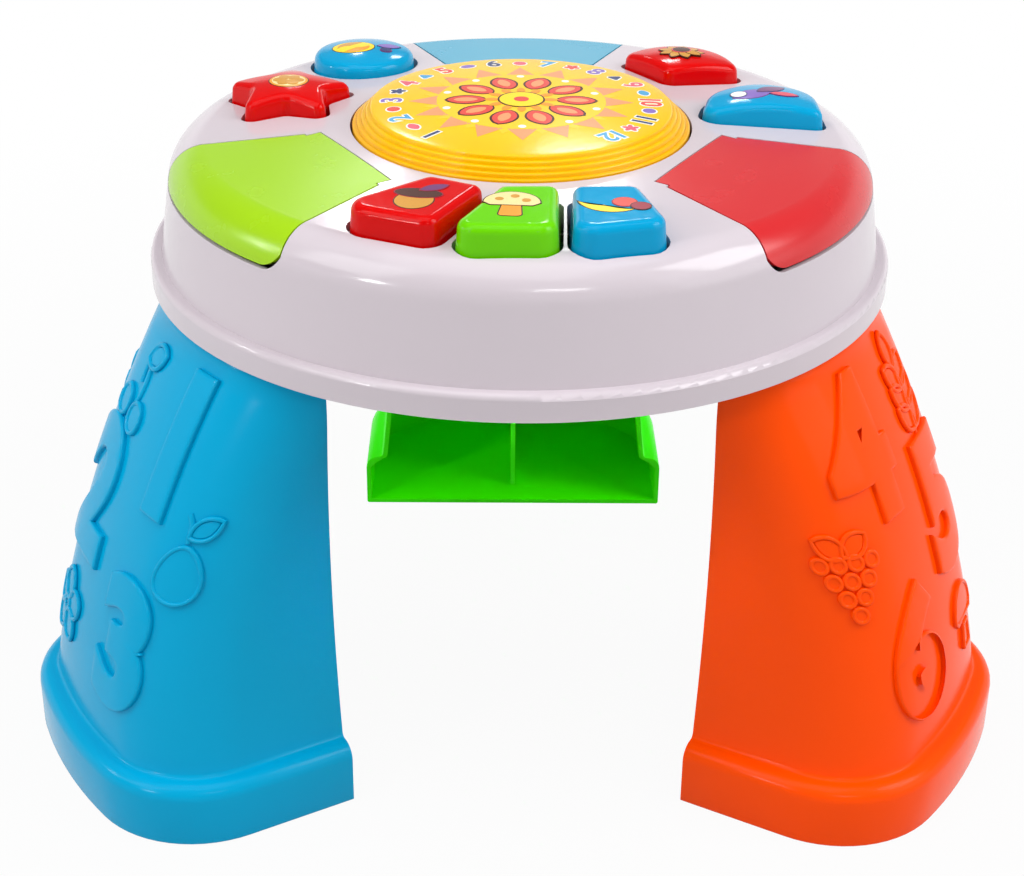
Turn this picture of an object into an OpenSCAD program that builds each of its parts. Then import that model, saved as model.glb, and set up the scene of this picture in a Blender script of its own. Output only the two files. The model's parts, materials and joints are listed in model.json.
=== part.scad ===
// Musical activity table for a standing toddler. A round housing holds a lit sun disc, seven press
// buttons and three hinged pads, and stands on three hollow legs that clip in under it.
// Millimetres. The origin is on the floor at the table's vertical axis, +Z is up, the keys face -Y.

/* [Housing] */
// Radius of the lip, the widest part of the housing
lip_r = 200; // [196:1:206]
// Height of the lip's underside above the floor
lip_z = 247; // [240:1:255]
// Height of the lip band
lip_h = 14; // [12:0.5:16]
// Width of the ledge between the lip and the foot of the side wall
ledge_w = 6; // [4:0.5:7]
// Radius of the lip's upper edge
lip_round = 3; // [1:0.5:3.5]
// Height of the deck at the sun's opening above the lip's underside
deck_rise = 77; // [74:0.5:80]
// Lean of the side wall, degrees
wall_draft = 8.5; // [7.5:0.5:10]
// Radius of the shoulder between the side wall and the deck
shoulder_r = 21.5; // [20:0.5:23]
// Fall of the deck towards the shoulder, degrees
deck_fall = 3.4; // [2.8:0.1:4]
// Wall thickness of the moulded shells
wall = 2.5; // [2.2:0.1:2.8]

/* [Sun disc] */
// Radius of the sun disc
sun_r = 90; // [86:0.5:91]
// Number of steps on the sun's flank
sun_steps = 4; // [3:1:5]
// Rise of one step
sun_step_h = 2.3; // [1.8:0.1:2.6]
// Inset of one step
sun_step_w = 2.4; // [2:0.1:3]
// Rise of the crown over the last step
sun_crown = 2.4; // [1:0.1:4]
// How far the sun disc can be pressed
sun_travel = 2.5; // [1:0.1:3]

/* [Buttons] */
// Height of the front keys' flat tops above the deck
key_rise = 12; // [9:0.5:14]
// Height of the star's middle above the deck
star_rise = 13; // [9:0.5:14]
// Height of the round button's middle above the deck
round_rise = 11; // [9:0.5:14]
// Height of the middles of the fan and the half moon above the deck
fan_rise = 12.5; // [9:0.5:14]
// Radius of the domed tops of the round button, the star, the fan and the half moon
cap_crown = 110; // [90:5:300]
// Radius of a cap's upper edge
cap_edge = 3.6; // [2:0.2:4]
// Wall thickness of a cap
cap_wall = 2; // [1.6:0.1:2.2]
// Gap between a cap and the well round it
cap_gap = 1.2; // [1:0.1:1.4]
// Wall thickness of a well's skirt
well_wall = 1.5; // [1.2:0.1:1.6]
// How far a button can be pressed
cap_travel = 3; // [2:0.1:3.4]
// Radius of the round button
round_r = 30; // [26:0.5:30]
// Centre of the round button
round_at = [-90, 109]; // [-120:0.5:120]
// Centre of the star button
star_at = [-127, 38]; // [-130:0.5:130]
// Reach of the star's tips
star_tip = 41; // [36:0.5:42]
// Reach of the star's inner corners
star_waist = 22; // [18:0.5:26]
// Apex of the fan button
fan_at = [86.5, 77.5]; // [60:0.5:100]
// Reach of the fan from its apex
fan_reach = 33; // [28:0.5:34]
// Opening angle of the fan, degrees
fan_angle = 106; // [90:1:108]
// Corner radius of the fan
fan_round = 8; // [6:0.5:8.5]

/* [Pads] */
// Distance of a pad's inner edge from the table's axis
pad_in = 99.5; // [98.5:0.5:100.5]
// Length of the hinge strip, outwards from the inner edge
strip_l = 8; // [7:0.5:9]
// Half width of the hinge strip
strip_half = 40; // [38:0.5:40.5]
// Half of the angle between a pad's sides, degrees
pad_half = 21.5; // [20.5:0.1:22]
// Height of a pad's lower edge above the lip's underside
pad_low = 53.5; // [50:0.5:56]
// Radius of a pad's lower corners
pad_round = 12; // [6:1:14]
// Gap along a pad's sides
pad_gap = 0.8; // [0.6:0.1:1]
// Thickness of a pad
pad_t = 2.6; // [2.2:0.1:3]
// How far a pad tips about its hinge, degrees
pad_tip = 1; // [0.5:0.1:1.2]
// Radius of a pad's hinge pin
pad_pin_r = 2; // [1.8:0.1:2.2]

/* [Legs] */
// Radius that the outside of the feet reaches
foot_r = 283; // [275:1:300]
// Half width of a foot
foot_half = 98.5; // [97:0.5:104]
// Height of a foot
foot_h = 35; // [30:1:40]
// Radius of a foot's upper edge
foot_round = 8; // [5:0.5:9]
// Width of the shelf between a foot's side and the leg above it
foot_shelf = 11; // [10:0.5:13]
// Distance of the legs' open side from the table's axis
leg_in = 158; // [152:1:160]
// Waist: half width of a leg at its narrowest
leg_half = 80; // [76:1:82]
// Share of a leg's lean that comes from its bow, the rest is straight
leg_bow = 0.66; // [0.4:0.02:0.9]
// Radius of the round corners of a leg in plan
leg_corner = 51; // [44:1:54]
// Radius of a leg's upper shoulder under the lip
leg_shoulder = 9; // [6:0.5:10]
// Wall thickness of a leg
leg_wall = 3; // [2.4:0.1:3.4]
// Distance of the middle rib's free edge from the table's axis
rib_in = 178; // [170:1:190]

/* [Underside and inner parts] */
// Thickness of the bottom cover
cover_t = 3; // [2.6:0.1:3.4]
// Depth of the leg sockets above the bottom cover
socket_h = 14; // [12:0.5:16]
// Length of one battery cell
cell_l = 50.5; // [50:0.1:51]
// Radius of one battery cell
cell_r = 7.25; // [7:0.05:7.3]
// Number of battery cells
cells = 3; // [2:1:3]
// Radius of the speaker
speaker_r = 25; // [20:0.5:28]
// Thickness of a circuit board
board_t = 1.6; // [1.2:0.1:2]
// Travel of the power switch to each side of its middle position
switch_travel = 3; // [2:0.5:3.5]

/* [Hidden] */
$fn = 72;

// Longest turn between two points of an arc in an outline, degrees
arc_step = 18;
// Clearance between a stop and what it stops, at rest
rest_gap = 0.3;
// Clearance between fixed pieces that slide together when assembled
fit_gap = 0.3;

// Heights
lip_top = lip_z + lip_h;
deck_z = lip_z + deck_rise;
cover_z = lip_z + 1;
cover_top = cover_z + cover_t;
well_low = deck_z - 12;
flange_t = 2;
flange_w = 2.4;
stop_z = well_low - rest_gap;
flange_z = stop_z - flange_t;
dome_top = well_low - 6;
dome_h = 2 * cap_travel;
board_z = dome_top - dome_h;
board_low = board_z - board_t;

// Housing profile: the wall stands on the lip's ledge and meets the shoulder as a tangent
foot_ring_r = lip_r - ledge_w;
sun_open_r = sun_r + cap_gap;
fall = tan(deck_fall);
lean = tan(wall_draft);
crease_r = (foot_ring_r - shoulder_r / cos(wall_draft)
    - lean * (deck_z + fall * sun_open_r - shoulder_r - lip_top)) / (1 - lean * fall);
crease_z = deck_z - fall * (crease_r - sun_open_r);
shoulder_z = crease_z - shoulder_r;

// Directions of the three legs and of the pads above them
leg_az = [210, 330, 90];
pad_az = [210, 330, 90];
pad_low_z = lip_z + pad_low;
hinge_x = pad_in + strip_l / 2;
hinge_z = deck_height(hinge_x) - 6;
pad_low_gap = (crease_r + shoulder_r - hinge_x) * sin(pad_tip) + 0.5;
lug_t = 3;
plunger_x = crease_r - 14.7;
plunger_r = 3.2;
pad_rib_t = 1.6;
pad_board_x = [plunger_x - 26, plunger_x + 12];
pad_board_screw_at = [for (a = pad_az, x = pad_board_x) polar(x, a)];

// Legs
leg_top = cover_z;
leg_base_r = foot_r - foot_shelf;
leg_crown_r = lip_r - 1.5;
leg_crown_z = leg_top - leg_shoulder;
leg_side_z = 155;
rib_t = 3;
tenon = [16, 34, 13];
tenon_at = [169, 45];
socket_wall = 2;
barb = [1.2, 8, 3.6];
barb_z = cover_top + 4.4;

// Sun disc and the lamps under it
sun_low_z = deck_z + 1.2;
sun_top_r = sun_r - sun_steps * sun_step_w;
sun_top_z = sun_low_z + sun_steps * sun_step_h;
sun_dome_r = sun_r - 28;
light_board_r = sun_r - 8;
rim_r = sun_r - cap_wall - 0.5;
light_post_at = [for (a = [30, 150, 270]) polar(light_board_r - 10, a)];
led_at = [for (a = [0 : 60 : 300]) polar(sun_r - 50, a)];

// Fasteners
post_r = 5;
post_at = [for (a = [10, 50, 130, 170, 250, 290]) polar(lip_r - 19, a)];
post_low = cover_top + 4;
tray_post_r = 4.5;
tray_post_at = [for (a = [30, 118, 270]) polar(sun_r + 11, a)];
tray_t = 2;
tray_z = board_low - 4.4;
board_post_r = 3.4;
screw_r = 1.4;
head_r = 2.9;
head_h = 2;
pilot_r = screw_r + 0.1;
clear_r = screw_r + 0.3;

// Underside layout
battery_at = [0, -52];
battery_box = [cells * (2 * cell_r + 0.6) + 1, cell_l + 9, 2 * cell_r + 1.5];
box_wall = 2;
door_t = 2;
door = [battery_box.x + 9, battery_box.y + 11];
door_screw_at = battery_at - [0, door.y / 2 + 5];
speaker_at = [0, 62];
speaker_flange_t = 2;
speaker_screw_at = [for (a = [90, 210, 330]) speaker_at + polar(speaker_r + head_r - 0.5, a)];
switch_at = [-105, 0];
switch_slot = [7 + 2 * switch_travel, 5.4];
main_board_size = [62, 80];
main_board_z = cover_top + 11;
main_post_at = [for (x = [-26, 26], y = [-35, 35]) switch_at + [x, y]];

// Buttons
cap_draft = 1.4;
key_stop_half = 9;
key_stop_over = 2;

// Outlines of the buttons: corners as [x, y, corner radius], anticlockwise
red_key_path = rounded([[-46, -99.5, 8], [-94, -142.5, 13], [-42, -165.5, 9], [-16.5, -115, 7]]);
green_key_path = rounded([[-12.5, -113.5, 7], [-39, -172, 11], [16.5, -172, 11], [18.5, -112.5, 7]]);
blue_key_path = rounded([[22.2, -112.5, 7], [20.5, -175, 11], [69.5, -161.5, 11], [56.6, -111, 8]]);
moon_in = sun_open_r + 3.3;
moon_path = rounded([[moon_in, 3, 10], [164, 3, 6], [163, 41, 24], [132, 53, 20], [moon_in + 7, 34, 20]]);
star_path = rounded([for (k = [0 : 9])
    [each star_at + polar(k % 2 == 0 ? star_tip : star_waist, 90 + 36 * k), k % 2 == 0 ? 5.6 : 7]]);
fan_dir = 70;
fan_path = fan_outline(fan_at, fan_reach, fan_dir - fan_angle / 2, fan_dir + fan_angle / 2, fan_round);
round_path = arc(round_at, round_r, 0, 350, 35);

// Middles of the buttons, where their domes stand
red_key_mid = [-53, -134];
green_key_mid = [-5, -144];
blue_key_mid = [43, -142];
moon_mid = [131, 22];
fan_mid = fan_at + polar(fan_reach * 0.5, fan_dir);

// Posts that the key boards hang on
key_post_at = [[-67, -97], [-27.3, -102.3], [65, -98]];
left_post_at = [[-98, 69], [-146, 76], [-127, 7]];
right_post_at = [[112, 61], [158.2, 48.6], [57, 93]];
board_in = sun_open_r + 9.8;
board_out = crease_r + 7.3;

// Colours
housing_white = "#f3edf3";
sun_yellow = "#ffc400";
button_red = "#d8161a";
button_blue = "#2aaee0";
button_green = "#8fdc1e";
board_green = "#2f7d4a";
steel = "#b8bcc0";
silicone = "#d9d9d4";

// ---- helpers ----

function unit(v) = v / norm(v);

function polar(r, a) = [r * cos(a), r * sin(a)];

function arc(c, r, from, to, n) = [for (i = [0 : n]) c + polar(r, from + (to - from) * i / n)];

// Points of the arc that rounds corner b between its neighbours a and d
function corner_arc(a, b, d) =
    let (
        p = [b.x, b.y],
        u = unit([a.x, a.y] - p),
        v = unit([d.x, d.y] - p),
        half = acos(u * v) / 2,
        c = p + unit(u + v) * b[2] / sin(half),
        first = p + u * b[2] / tan(half) - c,
        turn = (180 - 2 * half) * sign(cross(-u, v)),
        start = atan2(first.y, first.x)
    )
    arc(c, b[2], start, start + turn, max(2, ceil(abs(turn) / arc_step)));

function rounded(c) = let (n = len(c))
    [for (i = [0 : n - 1]) each corner_arc(c[(i + n - 1) % n], c[i], c[(i + 1) % n])];

// A sector of a circle with all its corners rounded
function fan_outline(c, reach, a0, a1, r) = [
    each arc(c, r, a1 + 90, a0 + 270, 6),
    each arc(c + polar(reach, a0), r, a0 - 90, a0, 5),
    each arc(c, reach + r, a0 + 12, a1 - 12, 7),
    each arc(c + polar(reach, a1), r, a1, a1 + 90, 5)
];

// An outline moved inwards by d, or outwards when d is negative
function inset(path, d) = let (n = len(path)) [for (i = [0 : n - 1])
    let (
        a = unit(path[i] - path[(i + n - 1) % n]),
        b = unit(path[(i + 1) % n] - path[i]),
        na = [-a.y, a.x],
        nb = [-b.y, b.x]
    )
    path[i] + d * (na + nb) / (1 + na * nb)];

function ring(path, z) = [for (p = path) [p.x, p.y, z]];

// Height of the deck's upper surface at radius r
function deck_height(r) = deck_z - fall * (min(max(r, sun_open_r), crease_r) - sun_open_r);

function middle(points) = [for (p = points) 1] * points / len(points);

// A closed skin through rings that have the same number of points, with fans of triangles as its ends
module loft(rings) {
    n = len(rings[0]);
    m = len(rings);
    polyhedron(
        points = [for (r = rings) each r, middle(rings[0]), middle(rings[m - 1])],
        faces = [
            for (j = [0 : n - 1]) let (k = (j + 1) % n) [j, k, m * n],
            for (j = [0 : n - 1]) let (k = (j + 1) % n) [(m - 1) * n + k, (m - 1) * n + j, m * n + 1],
            for (i = [0 : m - 2], j = [0 : n - 1])
                let (k = (j + 1) % n) [i * n + j, (i + 1) * n + j, (i + 1) * n + k, i * n + k]
        ],
        convexity = 8);
}

module slab(path, low, high) {
    translate([0, 0, low]) linear_extrude(high - low) polygon(path);
}

module at(p, z = 0) {
    translate([p.x, p.y, z]) children();
}

module centred_box(size, low) {
    translate([-size.x / 2, -size.y / 2, low]) cube(size);
}

// Half section of the housing's outside, drawn t inside the outer surface
module housing_section(t = 0, low = lip_z) {
    edge = max(lip_round - t, 0.5);
    // The wall ends just inside the shoulder's circle
    inner_r = shoulder_r - t - 0.03;
    polygon([
        [0, low], [lip_r - t, low], [lip_r - t, lip_top - t - edge], [lip_r - t - edge, lip_top - t - edge],
        [lip_r - t - edge, lip_top - t], [foot_ring_r - t / cos(wall_draft), lip_top - t],
        [foot_ring_r - t / cos(wall_draft), lip_top],
        [crease_r + inner_r * cos(wall_draft), shoulder_z + inner_r * sin(wall_draft)],
        [crease_r, shoulder_z], [crease_r, crease_z - t], [sun_open_r, deck_z - t], [0, deck_z - t]
    ]);
    translate([lip_r - t - edge, lip_top - t - edge]) circle(edge);
    intersection() {
        translate([crease_r, shoulder_z]) circle(shoulder_r - t);
        translate([0, lip_top]) square([lip_r, deck_rise]);
    }
}

module housing_body(t = 0, low = lip_z) {
    rotate_extrude() housing_section(t, low);
}

// ---- pads ----

// Plan of a pad along +X, wider by g than the pad itself
module pad_plan(g = 0) {
    side = tan(pad_half);
    jog = pad_in + strip_l;
    wide = g / cos(pad_half);
    polygon([
        [pad_in - g, -strip_half - g], [jog - g, -strip_half - g], [jog - g, -jog * side - wide],
        [lip_r, -lip_r * side - wide], [lip_r, lip_r * side + wide], [jog - g, jog * side + wide],
        [jog - g, strip_half + g], [pad_in - g, strip_half + g]
    ]);
}

// Front view of a pad: straight sides and two round lower corners
module pad_front(g = 0, drop = 0) {
    w = (crease_r + shoulder_r) * sin(pad_half) + g;
    low = pad_low_z - drop;
    for (s = [-1, 1]) translate([s * (w - pad_round), low + pad_round]) circle(pad_round);
    translate([-w + pad_round, low]) square([2 * (w - pad_round), deck_rise]);
    translate([-w, low + pad_round]) square([2 * w, deck_rise]);
}

// The block of space that a pad fills, or that its window clears
module pad_block(g = 0, drop = 0) {
    intersection() {
        translate([0, 0, lip_top]) linear_extrude(deck_rise) pad_plan(g);
        rotate([90, 0, 90]) linear_extrude(lip_r) pad_front(g, drop);
    }
}

module pad(az, colour) {
    color(colour) rotate([0, 0, az]) {
        intersection() {
            difference() {
                housing_body();
                housing_body(pad_t, lip_z - 1);
            }
            pad_block();
        }
        intersection() {
            housing_body(pad_t / 2);
            union() {
                // Web and pin of the hinge
                translate([hinge_x - 1.5, -strip_half + 2, hinge_z])
                    cube([3, 2 * strip_half - 4, deck_z - hinge_z]);
                // Plunger over the pad's dome
                translate([plunger_x, 0, dome_top + rest_gap]) cylinder(r = 4, h = deck_rise);
                // Stiffening ribs on each side of the plunger
                for (s = [-1, 1]) rotate([0, 0, s * pad_half / 2])
                    translate([hinge_x + 4, -pad_rib_t / 2, well_low - 1])
                        cube([plunger_x - hinge_x, pad_rib_t, deck_rise]);
            }
        }
        translate([hinge_x, 0, hinge_z]) rotate([90, 0, 0])
            cylinder(r = pad_pin_r, h = 2 * (strip_half + pad_gap + lug_t), center = true);
    }
}

module green_pad() pad(pad_az[0], "#a8e600");
module red_pad() pad(pad_az[1], "#e94340");
module blue_pad() pad(pad_az[2], "#62c0e4");

// Two lugs under the deck that carry a pad's pin
module pad_lugs() {
    for (az = pad_az) rotate([0, 0, az]) for (s = [-1, 1]) difference() {
        translate([pad_in + 0.3, s * (strip_half + pad_gap + 0.2 + lug_t / 2) - lug_t / 2, hinge_z - 4])
            cube([strip_l - 1.6, lug_t, deck_z - hinge_z + 4]);
        translate([hinge_x, 0, hinge_z]) rotate([90, 0, 0])
            cylinder(r = pad_pin_r + 0.08, h = 3 * strip_half, center = true);
    }
}

// ---- buttons ----

// Upper surface of a cap: flat where bow is 0, otherwise domed to the radius 1 / bow
function roof(p, mid, rise, bow) = deck_height(norm(mid)) + rise - bow / 2 * (p - mid) * (p - mid);

function roof_ring(path, mid, rise, bow, drop) = [for (p = path) [p.x, p.y, roof(p, mid, rise, bow) - drop]];

// The body of a cap, t inside its outer surface
module cap_body(path, mid, rise, bow, t = 0) {
    side = inset(path, cap_draft + t);
    edge = max(cap_edge - t, 0.4);
    top = inset(side, edge);
    loft([
        ring(inset(path, t), flange_z + (t > 0 ? -1 : flange_t / 2)),
        for (a = [0 : 30 : 60]) roof_ring(inset(side, edge * (1 - cos(a))), mid, rise - t, bow,
            edge * (1 - sin(a))),
        for (k = bow > 0 ? [1, 0.75, 0.5] : [1])
            roof_ring([for (p = top) mid + k * (p - mid)], mid, rise - t, bow, 0),
        if (bow > 0) ring([for (p = top) mid + 0.25 * (p - mid)], roof(mid, mid, rise - t, bow))
    ]);
}

// A hollow cap with a stop flange under the deck and a plunger over its dome
module cap(path, mid, rise, bow, stop_path) {
    difference() {
        cap_body(path, mid, rise, bow);
        cap_body(path, mid, rise, bow, cap_wall);
    }
    difference() {
        slab(stop_path, flange_z, stop_z);
        slab(inset(path, cap_wall / 2), flange_z - 1, stop_z + 1);
    }
    at(mid) plunger(roof(mid, mid, rise, bow) - cap_wall / 2);
}

// Rod from a button's roof down to its dome
module plunger(top) {
    low = dome_top + rest_gap;
    translate([0, 0, low]) cylinder(r = plunger_r, h = top - low);
}

// Stop flange all the way round a cap
function full_stop(path) = inset(path, -flange_w);

// A key's stops: a strip along the key that reaches past its front and back only
function key_stop(path, mid, aim) = let (
        u = polar(1, aim),
        v = [-u.y, u.x] * key_stop_half,
        reach = [for (p = path) (p - mid) * u],
        near = mid + (min(reach) - key_stop_over) * u,
        far = mid + (max(reach) + key_stop_over) * u
    )
    [near - v, near + v, far + v, far - v];

module key(path, mid, aim, colour) {
    color(colour) cap(path, mid, key_rise, 0, key_stop(path, mid, aim));
}

module red_key() key(red_key_path, red_key_mid, 240, button_red);
module green_key() key(green_key_path, green_key_mid, 262, button_green);
module blue_key() key(blue_key_path, blue_key_mid, 276, button_blue);
module star_button() color(button_red)
    cap(star_path, star_at, star_rise, 1 / cap_crown, full_stop(star_path));

module fan_button() color(button_red)
    cap(fan_path, fan_mid, fan_rise, 1 / cap_crown, full_stop(fan_path));

module moon_button() color(button_blue)
    cap(moon_path, moon_mid, fan_rise, 1 / cap_crown, full_stop(moon_path));

// Half section of the round button, t inside its outer surface
module round_section(t = 0) {
    low = flange_z - (t > 0 ? 1 : 0);
    top = deck_height(norm(round_at)) + round_rise;
    edge = max(cap_edge - t, 0.4);
    flat_r = round_r - cap_draft - cap_edge;
    side_top = top - t - flat_r * flat_r / (2 * cap_crown);
    polygon([[0, low], [round_r - t, low], [flat_r + edge, side_top - edge], [flat_r, side_top - edge],
        [flat_r, side_top], [0, side_top]]);
    translate([flat_r, side_top - edge]) circle(edge);
    intersection() {
        translate([0, top - cap_crown]) circle(cap_crown - t, $fn = 360);
        translate([0, low]) square([flat_r, deck_rise]);
    }
}

module round_button() {
    color(button_blue) at(round_at) {
        rotate_extrude() {
            difference() {
                round_section();
                round_section(cap_wall);
                translate([-2 * lip_r, 0]) square([2 * lip_r, 2 * lip_r]);
            }
            translate([round_r - 1, flange_z]) square([1 + flange_w, flange_t]);
        }
        plunger(deck_height(norm(round_at)) + round_rise - cap_wall / 2);
    }
}

// ---- sun ----

// Half section of the sun disc, t inside its outer surface
module sun_section(t = 0) {
    low = flange_z - (t > 0 ? 1 : 0);
    crown_r = (pow(sun_top_r, 2) + sun_crown * sun_crown) / (2 * sun_crown);
    translate([0, low]) square([sun_r - t, sun_low_z - t - low]);
    for (k = [1 : sun_steps])
        translate([0, low]) square([sun_r - t - k * sun_step_w, sun_low_z + k * sun_step_h - t - low]);
    intersection() {
        translate([0, sun_top_z + sun_crown - crown_r]) circle(crown_r - t, $fn = 360);
        translate([0, low]) square([sun_top_r - t, deck_rise]);
    }
}

module sun_lens() {
    color(sun_yellow) {
        rotate_extrude() {
            difference() {
                sun_section();
                sun_section(cap_wall);
                translate([-2 * lip_r, 0]) square([2 * lip_r, 2 * lip_r]);
            }
            translate([sun_r - 1, flange_z]) square([1 + flange_w - 0.2, flange_t]);
        }
        for (a = pad_az) at(polar(sun_dome_r, a)) plunger(sun_top_z);
    }
}

// ---- housing ----

module wells_cut() {
    for (p = [red_key_path, green_key_path, blue_key_path, star_path, fan_path, moon_path])
        slab(inset(p, -cap_gap), well_low - 1, deck_z + 1);
    at(round_at, well_low - 1) cylinder(r = round_r + cap_gap, h = deck_rise);
    translate([0, 0, well_low - 1]) cylinder(r = sun_open_r, h = deck_rise);
}

module well_skirts() {
    for (p = [red_key_path, green_key_path, blue_key_path, star_path, fan_path, moon_path])
        slab(inset(p, -cap_gap - well_wall), well_low, deck_z);
    at(round_at, well_low) cylinder(r = round_r + cap_gap + well_wall, h = deck_z - well_low);
    translate([0, 0, well_low]) cylinder(r = sun_open_r + well_wall, h = deck_z - well_low);
}

module hung_post(p, r, low) {
    difference() {
        at(p, low) cylinder(r = r, h = deck_z - low);
        at(p, low - 1) cylinder(r = pilot_r, h = 13);
    }
}

// Screw post of the housing, with a fin that ties it to the wall
module housing_post(p) {
    difference() {
        union() {
            at(p, post_low) cylinder(r = post_r, h = 36);
            at(p, post_low) rotate([0, 0, atan2(p.y, p.x)]) translate([2, -1.2, 0]) cube([18, 2.4, 34]);
        }
        at(p, post_low - 1) cylinder(r = pilot_r, h = 16);
    }
}

module top_shell() {
    color(housing_white) difference() {
        union() {
            difference() {
                housing_body();
                housing_body(wall, lip_z - 1);
            }
            intersection() {
                housing_body(wall / 2);
                union() {
                    well_skirts();
                    pad_lugs();
                    for (p = tray_post_at) hung_post(p, tray_post_r, tray_z + tray_t);
                    for (p = concat(key_post_at, left_post_at, right_post_at)) hung_post(p, 3, board_z);
                    for (p = post_at) housing_post(p);
                }
            }
        }
        wells_cut();
        for (az = pad_az) rotate([0, 0, az]) pad_block(pad_gap, pad_low_gap);
    }
}

// ---- bottom cover ----

// Recessed seat for a screw head, from below
module screw_seat(p, z) {
    at(p, z - 1) cylinder(r = clear_r, h = 20);
    at(p, z - 1) cylinder(r = head_r + 0.6, h = 1 + head_h + 1.4);
}

module leg_sockets(g = 0, low = 0) {
    for (az = leg_az, s = [-1, 1]) rotate([0, 0, az]) translate([tenon_at.x, s * tenon_at.y, cover_z - low])
        translate([-tenon.x / 2 - g, -tenon.y / 2 - g, 0])
            cube([tenon.x + 2 * g, tenon.y + 2 * g, socket_h + low + (low > 0 ? 0 : socket_wall)]);
}

module bottom_cover() {
    color(housing_white) difference() {
        union() {
            translate([0, 0, cover_z]) cylinder(r = lip_r - wall - 0.4, h = cover_t);
            leg_sockets(socket_wall + fit_gap);
            for (p = post_at) at(p, cover_z) cylinder(r = post_r + 0.5, h = post_low - cover_z);
            // Battery box
            at(battery_at) centred_box([battery_box.x + 2 * box_wall, battery_box.y + 2 * box_wall,
                battery_box.z + door_t + box_wall], cover_z);
            at(door_screw_at, cover_z) cylinder(r = 4.5, h = 12);
            // Speaker seat
            at(speaker_at, cover_z)
                cylinder(r = speaker_r + fit_gap + 1.6, h = cover_t + speaker_flange_t);
            for (p = speaker_screw_at) at(p, cover_z) cylinder(r = 3.4, h = cover_t + speaker_flange_t);
            for (p = main_post_at) at(p, cover_z) cylinder(r = 3.2, h = main_board_z - cover_z);
        }
        leg_sockets(fit_gap, 1);
        // Windows that the barbs on the legs' tenons spring into
        for (az = leg_az, s = [-1, 1]) rotate([0, 0, az])
            translate([tenon_at.x - tenon.x / 2 - 5, s * tenon_at.y - barb.y / 2 - 0.5, barb_z - 0.4])
                cube([6, barb.y + 1, barb.z + 1]);
        for (p = post_at) screw_seat(p, cover_z);
        // Battery box inside and the door's recess
        at(battery_at) centred_box(battery_box + [0, 0, door_t + 1], cover_z - 1);
        at(battery_at) centred_box([door.x + 0.8, door.y + 0.8, door_t + 1], cover_z - 1);
        at(door_screw_at) centred_box([13.8, 13.8, door_t + 1], cover_z - 1);
        at(door_screw_at, cover_z - 1) cylinder(r = pilot_r, h = 11);
        // Speaker grille: rings of holes
        at(speaker_at, cover_z + cover_t) cylinder(r = speaker_r + fit_gap, h = 20);
        at(speaker_at, cover_z - 1) cylinder(r = 1.7, h = cover_t + 2);
        for (k = [1 : 3], i = [0 : 6 * k - 1]) at(speaker_at + polar(6 * k, i * 60 / k), cover_z - 1)
            cylinder(r = 1.7, h = cover_t + 2, $fn = 24);
        for (p = concat(speaker_screw_at, main_post_at)) at(p, cover_z + 1.2) cylinder(r = pilot_r, h = 20);
        // Slot of the power switch
        at(switch_at) centred_box([switch_slot.x, switch_slot.y, 20], cover_z - 1);
    }
}

// ---- legs ----

// Outward reach and half width of a leg at height z
function leg_reach(z) = let (s = (z - foot_h) / (leg_crown_z - foot_h))
    leg_base_r - (leg_base_r - leg_crown_r) * ((1 - leg_bow) * s + leg_bow * s * s);

function leg_width(z) = leg_half
    + (foot_half - foot_shelf - leg_half) * pow((z - leg_side_z) / (leg_side_z - foot_h), 2);

// D-shaped plan along +X: an open side at x, straight flanks, round corners and an outer arc
function d_plan(x, reach, half, corner) =
    let (
        mid = half - corner,
        turn = asin(mid / (reach - corner)),
        cx = sqrt(pow(reach - corner, 2) - mid * mid),
        start = cx >= x ? 90 : acos((x - cx) / corner)
    )
    [
        [x, -mid - corner * sin(start)],
        each arc([cx, -mid], corner, -start, -turn, 6),
        for (i = [1 : 5]) polar(reach, turn * (i / 3 - 1)),
        each arc([cx, mid], corner, turn, start, 6),
        [x, mid + corner * sin(start)]
    ];

function foot_ring(z, t) = ring(d_plan(leg_in, foot_r - t, foot_half - t, leg_corner + foot_shelf - t), z);

function leg_ring(z, t = 0, x = leg_in) =
    ring(d_plan(x, leg_reach(z) - t, leg_width(z) - t, leg_corner - t), z);

module leg_outside() {
    body_h = leg_crown_z - foot_h;
    loft([
        foot_ring(0, 1.2), foot_ring(1.2, 0), foot_ring(foot_h - foot_round, 0),
        for (a = [30, 60, 90]) foot_ring(foot_h - foot_round * (1 - sin(a)), foot_round * (1 - cos(a))),
        leg_ring(foot_h + 0.8), for (k = [1 : 8]) leg_ring(foot_h + body_h * k / 8),
        for (a = [30, 60, 88]) ring(d_plan(leg_in, leg_crown_r - leg_shoulder * (1 - cos(a)),
            leg_width(leg_crown_z) - leg_shoulder / 3 * (1 - cos(a)), leg_corner),
            leg_crown_z + leg_shoulder * sin(a) / sin(88))
    ]);
}

module leg_inside() {
    low = foot_h - leg_wall;
    body_h = leg_crown_z - foot_h;
    x = leg_in - 2;
    t = leg_wall;
    loft([
        ring(d_plan(x, foot_r - t, foot_half - t, leg_corner + foot_shelf - t), leg_wall),
        ring(d_plan(x, foot_r - t, foot_half - t, leg_corner + foot_shelf - t), foot_h - foot_round),
        ring(d_plan(x, foot_r - t - foot_round / 2, foot_half - t - foot_round / 2,
            leg_corner + foot_shelf - t - foot_round / 2), low - 1),
        leg_ring(foot_h + 0.5, t, x), for (k = [1 : 7]) leg_ring(foot_h + body_h * k / 8, t, x),
        ring(d_plan(x, leg_reach(leg_crown_z) - t - 1, leg_width(leg_crown_z) - t, leg_corner - t),
            leg_top - leg_wall)
    ]);
}

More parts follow.
